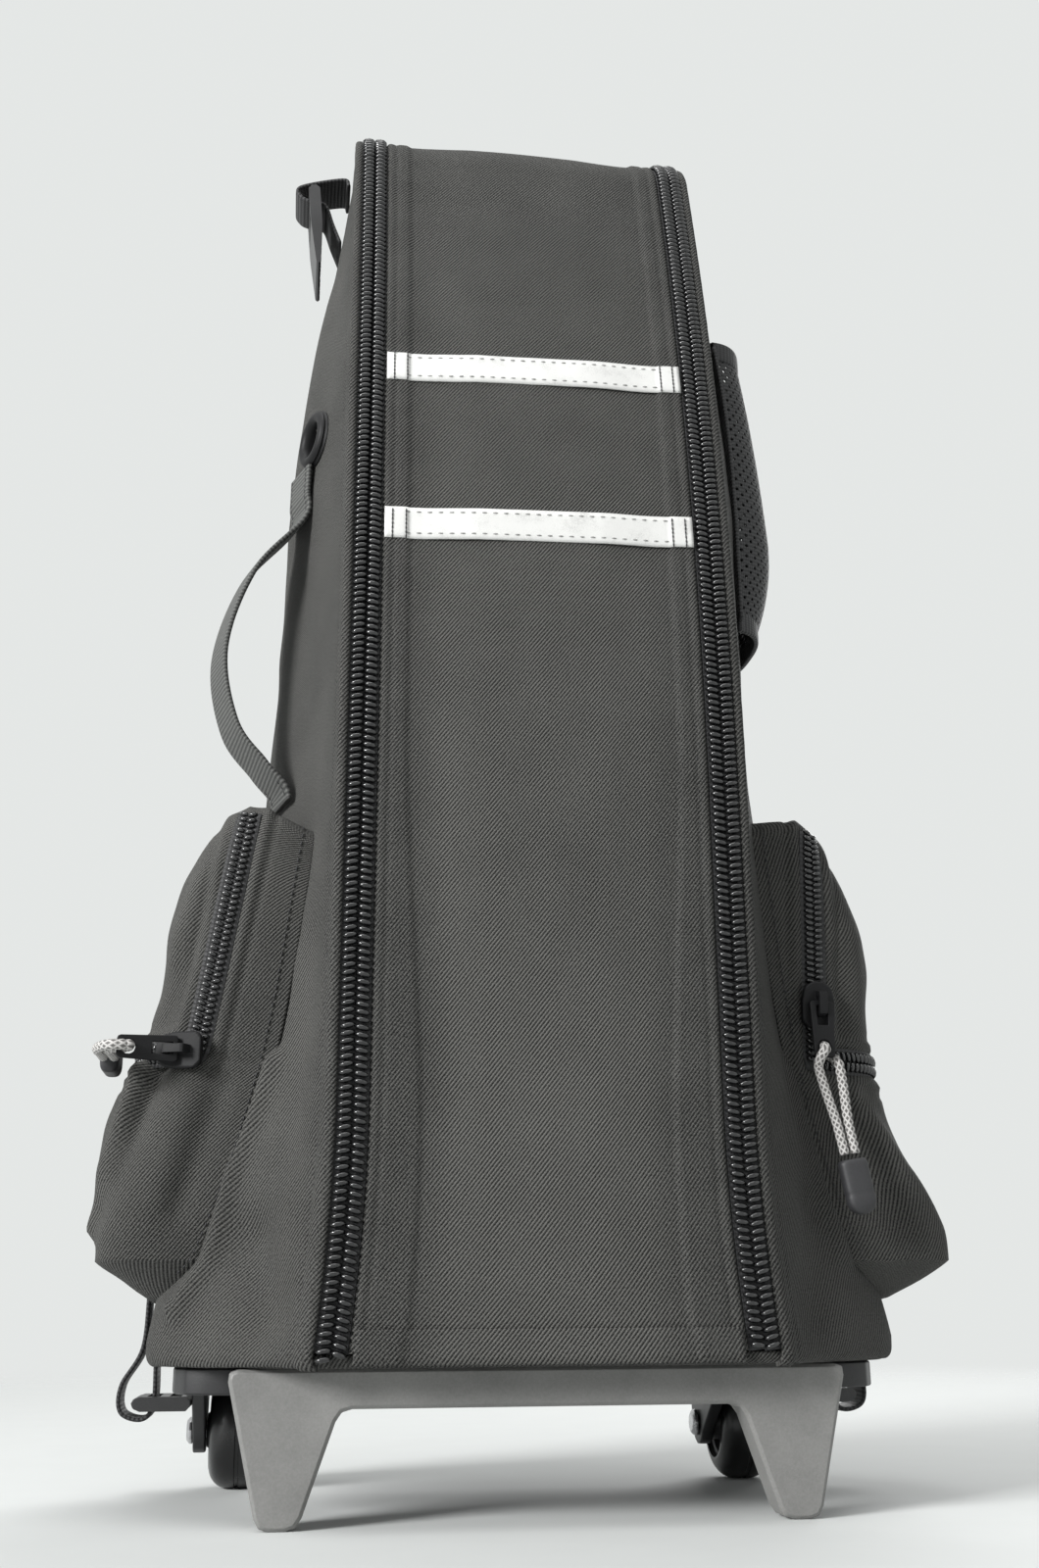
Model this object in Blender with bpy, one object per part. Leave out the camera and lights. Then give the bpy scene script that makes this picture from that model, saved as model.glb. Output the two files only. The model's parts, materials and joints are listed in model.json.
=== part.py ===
"""Wheeled soft carry bag for a small oxygen cylinder, with its cylinder, valve and regulator inside.

Metres, +Z up, the zipped front faces -Y, the feet and the wheels stand on z = 0.
Depths are measured backwards from the front panel, heights from the floor.
"""
import math

import bmesh
import bpy
from mathutils import Matrix, Vector

# Clearances
GAP = 0.0003
WHEEL_SIDE_CLEARANCE = 0.0015
WHEEL_TOP_CLEARANCE = 0.0014

# Cylinder, valve and regulator
CYLINDER_DIAMETER = 0.111
CYLINDER_LENGTH = 0.420
CYLINDER_WALL = 0.0075
CYLINDER_SHOULDER = 0.040
NECK_DIAMETER = 0.034
NECK_LENGTH = 0.012
NECK_BORE = 0.019
VALVE_WIDTH = 0.026
VALVE_THICKNESS = 0.022
VALVE_HEIGHT = 0.052
STEM_LENGTH = 0.022
SPINDLE_DIAMETER = 0.008
TOGGLE_LENGTH = 0.034
TOGGLE_HEIGHT = 0.008
YOKE_WALL = 0.009
YOKE_HEIGHT = 0.026
REGULATOR_DIAMETER = 0.032
REGULATOR_LENGTH = 0.026
GAUGE_DIAMETER = 0.030
GAUGE_DEPTH = 0.012
BARB_DIAMETER = 0.006
BARB_LENGTH = 0.016
KNOB_DIAMETER = 0.030
KNOB_LENGTH = 0.013
KNOB_RIBS = 9
SCREW_DIAMETER = 0.008
SCREW_LENGTH = 0.018
TEE_LENGTH = 0.034
HEAD_ROOM = 0.0405

# Bag body
SHELL_WALL = 0.0032
FLAP_WALL = 0.0035
FRONT_ROOM = 0.0273
BOARD_THICKNESS = 0.002
BOARD_WIDTH = 0.092
RING_STRAP_THICKNESS = 0.0015
RING_STRAP_HEIGHT = 0.025
RING_STRAP_RISE = 0.250
HEM_WIDTH = 0.266
HEM_HEIGHT = 0.008
HEM_BREAK = 0.040
WAIST_WIDTH = 0.208
WAIST_HEIGHT = 0.201
WAIST_BREAK = 0.085
CHEST_WIDTH = 0.187
CHEST_HEIGHT = 0.391
CHEST_BREAK = 0.066
CROWN_BREAK = 0.078
BACK_TUCK = 0.006
CROWN_TUCK = 0.0015
BASE_RADIUS = 0.004
CROWN_RADIUS = 0.026
CROWN_BACK_RADIUS = 0.010
CROWN_SIDE_RADIUS = 0.002
CROWN_SHOULDER = 0.0038
LEAN_START = 0.191
LEAN_RADIUS = 1.132
FRONT_CORNER = 0.0025
SIDE_CORNER = 0.014
BACK_CORNER = 0.022

# Front flap, its zip and its reflective tapes
PANEL_WIDTH = 0.1215
PANEL_FLARE = 0.0054
FLARE_HEIGHT = 0.086
ZIP_HALF = 0.0051
ZIP_PROUD = 0.0016
ZIP_SUNK = 0.0012
FLAP_BACK_MARGIN = 0.0215
FLAP_CORNER = 0.0115
TAPE_HEIGHT = 0.0138
TAPE_THICKNESS = 0.0006
TAPE_INSET = 0.0006
UPPER_TAPE_RISE = 0.3720
LOWER_TAPE_RISE = 0.2970
SLIDER_LENGTH = 0.017
SLIDER_WIDTH = 0.0128
SLIDER_THICKNESS = 0.0030
MAIN_SLIDER_SPACING = 0.026
SLIDER_SEAT = 0.0002
SLIDER_ABOVE_SEAM = 0.020
LEVEL_SLIDER_SEAT = 0.0010

# Side pockets, their zips and pulls
POCKET_ROOT = 0.080
POCKET_FRONT_TOP = 0.0200
POCKET_FRONT_FOOT = 0.0340
POCKET_BACK = 0.121
POCKET_FOOT_RISE = 0.0210
POCKET_SEAM_RISE = 0.1040
POCKET_TOP_RISE = 0.1960
POCKET_FOOT_REACH = 0.153
POCKET_SEAM_REACH = 0.1430
POCKET_TOP_REACH = 0.1120
POCKET_ROUND = 0.010
POCKET_SQUARENESS = 4.0
POCKET_ZIP_WIDTH = 0.0105
POCKET_ZIP_PROUD = 0.0014
POCKET_WALL = 0.0020
POCKET_ZIP_TOP_X = 0.106
POCKET_ZIP_FOOT_X = 0.1205
RIGHT_ZIP_FOOT_X = 0.1040
POCKET_ZIP_MARGIN = 0.006
POCKET_ZIP_BACK = 0.100
TAB_WIDTH = 0.0092
TAB_LENGTH = 0.020
TAB_THICKNESS = 0.0016
BAIL_WIDTH = 0.0030
BAIL_LENGTH = 0.0105
BAIL_HEIGHT = 0.0046
BAIL_WINDOW_LENGTH = 0.0052
BAIL_WINDOW_HEIGHT = 0.0026
PULL_CORD_DIAMETER = 0.0034
PULL_CORD_LENGTH = 0.0405
PULL_YAW = math.radians(10)
CORD_CLOSE = 0.62
PULL_TIP_LENGTH = 0.019
PULL_TIP_WIDTH = 0.0105
PULL_TIP_THICKNESS = 0.0066
PULL_HANG = math.radians(7)
PULL_FIRST_STEP = (0.0037, 0.0031)
PULL_STAND = math.radians(35)
PULL_EDGE_CLEARANCE = 0.0004
PULL_EDGE_BEND = 0.0065
PULL_EDGE_STEPS = (0.0057, 0.0146, 0.0246)

# Mesh pocket, side handle and tube grommet
MESH_WALL = 0.0012
MESH_FRONT = 0.046
MESH_BACK = 0.106
MESH_FOOT_RISE = 0.288
MESH_TOP_RISE = 0.417
MESH_BULGE = 0.0120
HANDLE_WIDTH = 0.020
HANDLE_THICKNESS = 0.0018
HANDLE_DEPTH = 0.052
HANDLE_TOP_RISE = 0.346
HANDLE_FOOT_RISE = 0.2015
HANDLE_TAB = 0.024
HANDLE_STAND_OFF = 0.029
GROMMET_DIAMETER = 0.025
GROMMET_BORE = 0.0135
GROMMET_BARREL = 0.0170
GROMMET_FLANGE = 0.0012
GROMMET_PACKING = 0.0008
GROMMET_DEPTH = 0.044
GROMMET_RISE = 0.358

# Base tray, stand and wheels
TRAY_WIDTH = 0.246
TRAY_THICKNESS = 0.004
TRAY_SKIRT = 0.0045
TRAY_SKIRT_WALL = 0.003
TRAY_CORNER = 0.020
TRAY_BACK_MARGIN = 0.004
STAND_DEPTH = 0.0166
STAND_THICKNESS = 0.0143
STAND_WALL = 0.0028
STAND_TOP_WIDTH = 0.2086
STAND_FOOT_WIDTH = 0.1852
STAND_FOOT = 0.0130
STAND_KNEE_WIDTH = 0.1342
STAND_BAR = 0.0125
STAND_ROUND = 0.004
WHEEL_DIAMETER = 0.043
WHEEL_WIDTH = 0.022
WHEEL_TRACK = 0.205
WHEEL_CROWN = 0.008
HUB_DIAMETER = 0.0274
HUB_BOSS = 0.013
HUB_WEB = 0.005
HUB_HOLES = 5
AXLE_DIAMETER = 0.006
AXLE_HEAD = 0.0105
AXLE_HEAD_HEIGHT = 0.0025
AXLE_BEHIND = 0.0064
CHEEK_THICKNESS = 0.005
CHEEK_TIP = 0.0085
FORK_REACH = 0.0125
FORK_BRIDGE = 0.008

# Telescopic handle and back padding
TUBE_SPACING = 0.084
OUTER_TUBE = 0.016
TUBE_WALL = 0.0013
TUBE_TOP_DROP = 0.012
INNER_TUBE_RISE = 0.010
COLLAR_WIDTH = 0.112
COLLAR_HEIGHT = 0.016
GRIP_WIDTH = 0.108
GRIP_BAR = 0.014
GRIP_GAP = 0.016
GRIP_LEG = 0.020
GRIP_THICKNESS = 0.0155
BUTTON_LENGTH = 0.026
BUTTON_WIDTH = 0.008
BUTTON_PROUD = 0.0025
BUTTON_TRAVEL = 0.0020
BUTTON_SUNK = 0.006
PAD_COVER = 0.003
PAD_FOOT_WIDTH = 0.140
PAD_TOP_WIDTH = 0.112
PAD_FOOT_RISE = 0.012
PAD_TOP_DROP = 0.030
PAD_ROUND = 0.018

# Shoulder straps and their ladder locks
STRAP_WIDTH = 0.044
STRAP_THICKNESS = 0.006
STRAP_TOP_X = 0.036
STRAP_FOOT_X = 0.052
STRAP_TOP_DROP = 0.045
STRAP_FOOT_RISE = 0.200
WEBBING_WIDTH = 0.020
WEBBING_THICKNESS = 0.0015
LOCK_WIDTH = 0.029
LOCK_THICKNESS = 0.0052
LOCK_SLOT = 0.0046
LOCK_BAR = 0.0036
UPPER_LOCK_TAB = 0.022
LOWER_LOCK_TAB = 0.0020
UPPER_LOCK_DEPTH = 0.082
UPPER_LOCK_STAND_OFF = 0.0172
FLAT_LOCK_DEPTH = 0.112
UPPER_LOCK_LEAN = 0.09
FLAT_LOCK_STAND_OFF = 0.0105
FLAT_LOCK_LEAN = -0.05
LOCK_TAIL_SLACK = 0.28
UPPER_LOCK_DROP = 0.0200
UPPER_ROOT_DROP = 0.0150
UPPER_TAIL_DROP = 0.0460
LOWER_LOCK_DEPTH = 0.132
LOWER_LOCK_Z = 0.0330

# Worked-out places, heights from the floor
SLIDER_RISE = POCKET_SEAM_RISE + SLIDER_ABOVE_SEAM
TRAY_TOP = WHEEL_DIAMETER + WHEEL_TOP_CLEARANCE + TRAY_THICKNESS
BASE_Z = TRAY_TOP + GAP
BAG_HEIGHT = SHELL_WALL + GAP + CYLINDER_LENGTH + VALVE_HEIGHT + TOGGLE_HEIGHT + HEAD_ROOM
CROWN_Z = BASE_Z + BAG_HEIGHT
CROWN_START = BAG_HEIGHT - CROWN_RADIUS
CROWN_WIDTH = PANEL_WIDTH + 2 * (2 * ZIP_HALF + 3 * GAP + CROWN_SHOULDER)
RING_ROOM = RING_STRAP_THICKNESS + 2 * GAP
BAG_DEPTH = FRONT_ROOM + CYLINDER_DIAMETER + RING_ROOM + BOARD_THICKNESS + GAP + SHELL_WALL
BOARD_BACK = BAG_DEPTH - SHELL_WALL - GAP
CYLINDER_DEPTH = BOARD_BACK - BOARD_THICKNESS - RING_ROOM - CYLINDER_DIAMETER / 2
CYLINDER_Z = BASE_Z + SHELL_WALL + GAP
CYLINDER_TOP = CYLINDER_Z + CYLINDER_LENGTH
HINGE_RISE = BASE_RADIUS + 2 * GAP
HINGE_DEPTH = -ZIP_PROUD - GAP
FLAP_END = BAG_DEPTH - FLAP_BACK_MARGIN
ZIP_BAND = 2 * ZIP_HALF + 3 * GAP
AXLE_DEPTH = BAG_DEPTH + AXLE_BEHIND
AXLE_Z = WHEEL_DIAMETER / 2
TUBE_DEPTH = BAG_DEPTH + 2 * GAP + OUTER_TUBE / 2
TUBE_TOP = CROWN_Z - TUBE_TOP_DROP
INNER_TUBE = OUTER_TUBE - 2 * TUBE_WALL - 2 * GAP
COLLAR_TOP = TUBE_TOP + GAP + COLLAR_HEIGHT
GRIP_TOP = COLLAR_TOP + GAP + GRIP_GAP + GRIP_BAR
PAD_BACK = TUBE_DEPTH + OUTER_TUBE / 2 + GAP + PAD_COVER
STRAP_DEPTH = PAD_BACK + GAP + STRAP_THICKNESS / 2
CENTRE_DEPTH = (AXLE_DEPTH + WHEEL_DIAMETER / 2 - ZIP_PROUD) / 2
FAR = 0.30
WELD = 0.000002
SMOOTH_ANGLE = math.radians(40)
FLAT_ANGLE = math.radians(0.1)
WHEEL_STEPS = 24
RING_STEPS = 16
TUBE_STEPS = 14
SMALL_STEPS = 10
POCKET_STEPS = 20
POCKET_SPANS = 5
HULL_LEVELS = 10


# Objects and finishes

def clear_scene():
    for item in list(bpy.data.objects):
        bpy.data.objects.remove(item)


def finish(name, colour, roughness, metallic=0.0):
    material = bpy.data.materials.new(name)
    material.use_nodes = True
    shader = material.node_tree.nodes["Principled BSDF"]
    shader.inputs["Base Color"].default_value = (*colour, 1.0)
    shader.inputs["Roughness"].default_value = roughness
    shader.inputs["Metallic"].default_value = metallic
    return material


def solid(mesh_edit):
    bmesh.ops.remove_doubles(mesh_edit, verts=mesh_edit.verts, dist=1e-7)
    bmesh.ops.recalc_face_normals(mesh_edit, faces=mesh_edit.faces)
    mesh = bpy.data.meshes.new("solid")
    mesh_edit.to_mesh(mesh)
    mesh_edit.free()
    item = bpy.data.objects.new("solid", mesh)
    bpy.context.collection.objects.link(item)
    return item


def named(item, name, material, pivot=None):
    mesh_edit = bmesh.new()
    mesh_edit.from_mesh(item.data)
    bmesh.ops.dissolve_limit(mesh_edit, angle_limit=FLAT_ANGLE, verts=mesh_edit.verts, edges=mesh_edit.edges)
    bmesh.ops.triangulate(mesh_edit, faces=mesh_edit.faces)
    mesh_edit.to_mesh(item.data)
    mesh_edit.free()
    item.name = name
    item.data.name = name
    item.data.materials.clear()
    item.data.materials.append(material)
    item.data.shade_smooth()
    item.data.set_sharp_from_angle(angle=SMOOTH_ANGLE)
    if pivot is not None:
        item.data.transform(Matrix.Translation(-pivot))
        item.location = pivot
    return item


def boolean(base, tool, operation):
    modifier = base.modifiers.new("combine", "BOOLEAN")
    modifier.operation = operation
    modifier.object = tool
    bpy.context.view_layer.update()
    graph = bpy.context.evaluated_depsgraph_get()
    result = bpy.data.meshes.new_from_object(base.evaluated_get(graph))
    mesh_edit = bmesh.new()
    mesh_edit.from_mesh(result)
    bmesh.ops.remove_doubles(mesh_edit, verts=mesh_edit.verts, dist=WELD)
    bmesh.ops.dissolve_degenerate(mesh_edit, edges=mesh_edit.edges, dist=WELD)
    mesh_edit.to_mesh(result)
    mesh_edit.free()
    base.modifiers.clear()
    base.data = result
    bpy.data.objects.remove(tool)
    return base


def cut(base, tool):
    return boolean(base, tool, "DIFFERENCE")


def keep(base, tool):
    return boolean(base, tool, "INTERSECT")


def join(base, *tools):
    for tool in tools:
        boolean(base, tool, "UNION")
    return base


# Points and outlines

def at(x, depth, z):
    return Vector((x, depth - CENTRE_DEPTH, z))


def rise(height):
    return BASE_Z + height


def spline(points, spans):
    """Points along a smooth curve through the given points."""
    ends = [2 * points[0] - points[1], *points, 2 * points[-1] - points[-2]]
    path = []
    for before, start, stop, after in zip(ends, ends[1:], ends[2:], ends[3:]):
        for step in range(spans):
            t = step / spans
            path.append(0.5 * (2 * start + (stop - before) * t
                               + (2 * before - 5 * start + 4 * stop - after) * t ** 2
                               + (3 * start - before - 3 * stop + after) * t ** 3))
    return path + [points[-1]]


def corner(before, point, after, reach, steps=3):
    """A rounded corner: points on the curve from one side of it to the other."""
    reach = min(reach, 0.45 * (before - point).length, 0.45 * (after - point).length)
    start = point + (before - point).normalized() * reach
    stop = point + (after - point).normalized() * reach
    curve = []
    for step in range(steps + 1):
        t = step / steps
        curve.append(start * (1 - t) ** 2 + point * (2 * t * (1 - t)) + stop * t ** 2)
    return curve


def rounded(outline, reach, steps=3):
    corners = [Vector(point) for point in outline]
    points = []
    for index, point in enumerate(corners):
        points += corner(corners[index - 1], point, corners[(index + 1) % len(corners)], reach, steps)
    return points


def between(height, stations):
    """A smooth curve through (height, value) stations, level beyond both ends."""
    if height <= stations[0][0]:
        return stations[0][1]
    if height >= stations[-1][0]:
        return stations[-1][1]
    slopes = [(b[1] - a[1]) / (b[0] - a[0]) for a, b in zip(stations, stations[1:])]
    tangents = [slopes[0], *[(a + b) / 2 for a, b in zip(slopes, slopes[1:])], slopes[-1]]
    for index, (low, high) in enumerate(zip(stations, stations[1:])):
        if height <= high[0]:
            span = high[0] - low[0]
            t = (height - low[0]) / span
            return (low[1] * (1 + 2 * t) * (1 - t) ** 2 + tangents[index] * span * t * (1 - t) ** 2
                    + high[1] * t * t * (3 - 2 * t) + tangents[index + 1] * span * t * t * (t - 1))
    return stations[-1][1]


# Solids

def loft(rings, mirrored=False):
    """A closed skin through rings of points; mirrored flips the diagonals on the rings' second half."""
    mesh_edit = bmesh.new()
    rows = [[mesh_edit.verts.new(point) for point in ring] for ring in rings]
    for low, high in zip(rows, rows[1:]):
        for index in range(len(low)):
            a, b, c, d = low[index - 1], low[index], high[index], high[index - 1]
            flip = mirrored and 2 * index >= len(low)
            for face in ((a, b, d), (b, c, d)) if flip else ((a, b, c), (a, c, d)):
                mesh_edit.faces.new(face)
    mesh_edit.faces.new(rows[0])
    mesh_edit.faces.new(rows[-1])
    return solid(mesh_edit)


def prism(outline, axis, start, stop):
    """An outline in the two other axes, extruded along X, Y (a depth) or Z."""
    place = {"X": lambda p, s: at(s, p[0], p[1]),
             "Y": lambda p, s: at(p[0], s, p[1]),
             "Z": lambda p, s: at(p[0], p[1], s)}[axis]
    return loft([[place(point, level) for point in outline] for level in (start, stop)])


def box(x, depth, z):
    return prism([(x[0], depth[0]), (x[1], depth[0]), (x[1], depth[1]), (x[0], depth[1])], "Z", *z)


def softened(item, width, segments=1):
    modifier = item.modifiers.new("edges", "BEVEL")
    modifier.width = width
    modifier.segments = segments
    modifier.limit_method = "ANGLE"
    bpy.context.view_layer.update()
    graph = bpy.context.evaluated_depsgraph_get()
    result = bpy.data.meshes.new_from_object(item.evaluated_get(graph))
    item.modifiers.clear()
    item.data = result
    return item


def turned(profile, steps=RING_STEPS, closed=False):
    """(radius, height) points turned round the Z axis."""
    mesh_edit = bmesh.new()
    verts = [mesh_edit.verts.new((radius, 0.0, height)) for radius, height in profile]
    edges = [mesh_edit.edges.new(pair) for pair in zip(verts, verts[1:])]
    if closed:
        edges.append(mesh_edit.edges.new((verts[-1], verts[0])))
    bmesh.ops.spin(mesh_edit, geom=verts + edges, cent=(0, 0, 0), axis=(0, 0, 1),
                   angle=2 * math.pi, steps=steps, use_merge=True)
    return solid(mesh_edit)


def placed(item, origin, axis=Vector((0, 0, 1))):
    """Moves a turned solid so that its Z axis runs along the given axis."""
    turn = axis.to_track_quat("Z", "Y").to_matrix().to_4x4()
    item.data.transform(Matrix.Translation(origin) @ turn)
    return item


def rod(start, stop, diameter, steps=SMALL_STEPS):
    length = (stop - start).length
    radius = diameter / 2
    return placed(turned([(0, length), (radius, length), (radius, 0), (0, 0)], steps), start, stop - start)


def framed(item, origin, along, across, out):
    """Places a solid made in local axes: X along, Y across, Z out."""
    columns = Matrix((along, across, out)).transposed().to_4x4()
    item.data.transform(Matrix.Translation(origin) @ columns)
    return item


def local_box(x, y, z):
    rows = [[Vector((x[0], y[0], level)), Vector((x[1], y[0], level)),
             Vector((x[1], y[1], level)), Vector((x[0], y[1], level))] for level in z]
    return loft(rows)


def local_plate(outline, z):
    return loft([[Vector((point[0], point[1], level)) for point in outline] for level in z])


def ribbon(path, widths, width, thickness):
    """A flat band along a path; widths gives its sideways direction at each point."""
    rings = []
    for index, point in enumerate(path):
        forward = (path[min(index + 1, len(path) - 1)] - path[max(index - 1, 0)]).normalized()
        side = (widths[index] - forward * widths[index].dot(forward)).normalized() * width / 2
        face = forward.cross(side).normalized() * thickness / 2
        rings.append([point + side + face, point + side - face, point - side - face, point - side + face])
    return loft(rings, mirrored=True)


def tube(path, diameter, sides=6):
    rings = []
    face = None
    for index, point in enumerate(path):
        forward = (path[min(index + 1, len(path) - 1)] - path[max(index - 1, 0)]).normalized()
        guide = face if face is not None else forward.orthogonal()
        face = (guide - forward * guide.dot(forward)).normalized()
        side = forward.cross(face)
        turns = [2 * math.pi * step / sides for step in range(sides)]
        rings.append([point + (face * math.cos(a) + side * math.sin(a)) * diameter / 2 for a in turns])
    return loft(rings)


# Bag body

def panel_half(height):
    share = max(0.0, 1.0 - height / FLARE_HEIGHT)
    return PANEL_WIDTH / 2 + PANEL_FLARE * share * share


def front_depth(height):
    over = max(0.0, height - LEAN_START)
    return over * over / (2 * LEAN_RADIUS)


def body_half(height):
    return between(height, ((HEM_HEIGHT, HEM_WIDTH / 2), (WAIST_HEIGHT, WAIST_WIDTH / 2),
                            (CHEST_HEIGHT, CHEST_WIDTH / 2), (CROWN_START, CROWN_WIDTH / 2)))


def side_break(height):
    return between(height, ((HEM_HEIGHT, HEM_BREAK), (WAIST_HEIGHT, WAIST_BREAK),
                            (CHEST_HEIGHT, CHEST_BREAK), (CROWN_START, CROWN_BREAK)))


def half_section(height, front, side, back):
    """Right half of the body's outline at a height, moved outwards by front, side and back."""
    half = body_half(height)
    edge = min(panel_half(height) + ZIP_BAND + FRONT_CORNER, half - GAP)
    face = front_depth(height) - front
    middle = Vector((0.0, face))
    shoulder = Vector((edge + 0.6 * side, face))
    flank = Vector((half + side, side_break(height)))
    tuck = between(height, ((CHEST_HEIGHT, BACK_TUCK), (CROWN_START, CROWN_TUCK)))
    heel = Vector((half - tuck + side, BAG_DEPTH + back))
    rear = Vector((0.0, heel.y))
    return (corner(middle, shoulder, flank, FRONT_CORNER, 1) + corner(shoulder, flank, heel, SIDE_CORNER, 2)
            + corner(flank, heel, rear, BACK_CORNER, 2))


def body_ring(height, z, front, side, back):
    half = half_section(height, front, side, back)
    right = [at(point.x, point.y, z) for point in half]
    left = [at(-point.x, point.y, z) for point in reversed(half)]
    return right + left


def body_hull(offset):
    """The bag's closed outer form, moved outwards by an offset."""
    rings = []
    for step in range(3):
        angle = math.pi / 2 * (1 - step / 2)
        inward = offset * math.cos(angle) - BASE_RADIUS * (1 - math.cos(angle))
        height = BASE_RADIUS * (1 - math.sin(angle)) - offset * math.sin(angle)
        rings.append(body_ring(max(height, 0.0), rise(height), inward, inward, inward))
    start = 0.020
    for step in range(HULL_LEVELS):
        height = start + (CROWN_START - start) * step / HULL_LEVELS
        rings.append(body_ring(height, rise(height), offset, offset, offset))
    for step in range(5):
        angle = math.pi / 2 * step / 4
        shrink = 1 - math.cos(angle)
        out = offset * math.cos(angle)
        height = CROWN_START + CROWN_RADIUS * math.sin(angle)
        rings.append(body_ring(CROWN_START + (height - CROWN_START) * 0.6, rise(height + offset * math.sin(angle)),
                               out - CROWN_RADIUS * shrink, out - CROWN_SIDE_RADIUS * shrink,
                               out - CROWN_BACK_RADIUS * shrink))
    return loft(rings, mirrored=True)


def wall_x(height, depth):
    half = half_section(height, 0.0, 0.0, 0.0)
    for near, far in zip(half, half[1:]):
        if near.y <= depth <= far.y and far.y > near.y:
            return near.x + (far.x - near.x) * (depth - near.y) / (far.y - near.y)
    return half[-1].x


def wall_point(height, depth, side):
    """The point on the outer wall at a height and depth, and the wall's outward direction there."""
    step = 0.006
    back = wall_x(height, depth + step) - wall_x(height, depth - step)
    up = wall_x(height + step, depth) - wall_x(height - step, depth)
    out = Vector((side * 2 * step, -back, -up)).normalized()
    return at(side * wall_x(height, depth), depth, rise(height)), out


def front_region(spread, floor):
    """The front and top of the bag within the flap's outline, widened by spread."""
    levels = [floor + (FLARE_HEIGHT - floor) * step / 5 for step in range(6)] + [BAG_HEIGHT + FAR]
    right = [(panel_half(level) + spread, rise(level)) for level in levels]
    left = [(-x, z) for x, z in reversed(right)]
    region = prism(right + left, "Y", -FAR, FLAP_END + spread + GAP)
    side, back = PANEL_WIDTH / 2 + spread, FLAP_END + spread
    edge = [Vector(point) for point in ((side, FLAP_CORNER), (side, back), (0.0, back))]
    bend = [(FAR, -2 * FAR), (FAR, FLAP_CORNER), (side, FLAP_CORNER + GAP), *corner(*edge, FLAP_CORNER + spread, 2)]
    plan = bend + [(-x, depth) for x, depth in reversed(bend)]
    return keep(region, prism(plan, "Z", -FAR, CROWN_Z + 2 * FAR))


def bag_shell(material):
    shell = cut(body_hull(0.0), body_hull(-SHELL_WALL))
    shell = cut(shell, front_region(ZIP_BAND, HINGE_RISE - GAP))
    centre, out = wall_point(GROMMET_RISE, GROMMET_DEPTH, -1)
    hole = rod(centre - out * 0.02, centre + out * 0.02, GROMMET_BARREL + 2 * GAP, TUBE_STEPS)
    return named(cut(shell, hole), "bag_shell", material)


def hinge_pivot():
    return at(0.0, HINGE_DEPTH, rise(HINGE_RISE))


def front_flap(material):
    flap = keep(body_hull(0.0), front_region(0.0, HINGE_RISE))
    named(cut(flap, body_hull(-FLAP_WALL)), "front_flap", material, hinge_pivot())


def zip_half(name, inner, material, pivot=None):
    band = keep(body_hull(ZIP_PROUD), front_region(inner + ZIP_HALF, HINGE_RISE))
    band = cut(band, front_region(inner, HINGE_RISE - 2 * GAP))
    named(cut(band, body_hull(-ZIP_SUNK)), name, material, pivot)


def reflective_tape(name, height, material):
    half = panel_half(height) - TAPE_INSET
    low = rise(height)
    tape = keep(body_hull(GAP + TAPE_THICKNESS), box((-half, half), (-FAR, FLAP_END / 2), (low, low + TAPE_HEIGHT)))
    named(cut(tape, body_hull(GAP)), name, material, hinge_pivot())


# Zip sliders and pulls, made in local axes: X along the zip, Y across it, Z out of the bag

def slider_body(name, frame, material):
    crown_outline = rounded([(-SLIDER_LENGTH / 2, -SLIDER_WIDTH / 2), (SLIDER_LENGTH * 0.2, -SLIDER_WIDTH / 2),
                             (SLIDER_LENGTH / 2, -SLIDER_WIDTH * 0.3), (SLIDER_LENGTH / 2, SLIDER_WIDTH * 0.3),
                             (SLIDER_LENGTH * 0.2, SLIDER_WIDTH / 2), (-SLIDER_LENGTH / 2, SLIDER_WIDTH / 2)], 0.002, 1)
    crown = softened(local_plate(crown_outline, (0.0, SLIDER_THICKNESS)), 0.0006)
    top = SLIDER_THICKNESS + BAIL_HEIGHT
    arch = [(-BAIL_LENGTH / 2, 0.001), (BAIL_LENGTH / 2, 0.001), (BAIL_LENGTH * 0.4, top), (-BAIL_LENGTH * 0.4, top)]
    arch = rounded(arch, 0.0016, 2)
    bail = loft([[Vector((x, y, z)) for x, z in arch] for y in (-BAIL_WIDTH / 2, BAIL_WIDTH / 2)])
    window = local_box((-BAIL_WINDOW_LENGTH / 2, BAIL_WINDOW_LENGTH / 2), (-SLIDER_WIDTH, SLIDER_WIDTH),
                       (SLIDER_THICKNESS + GAP, SLIDER_THICKNESS + GAP + BAIL_WINDOW_HEIGHT))
    body = cut(join(crown, bail), window)
    named(framed(body, *frame), name, material, frame[0])


def bail_axis(frame):
    origin, along, across, out = frame
    return origin + out * (SLIDER_THICKNESS + GAP + BAIL_WINDOW_HEIGHT / 2)


def pull_frame(frame, direction):
    """Local axes of a pull that hangs from the slider's bail along a direction."""
    origin, along, across, out = frame
    return bail_axis(frame), direction, across, direction.cross(across)


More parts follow.
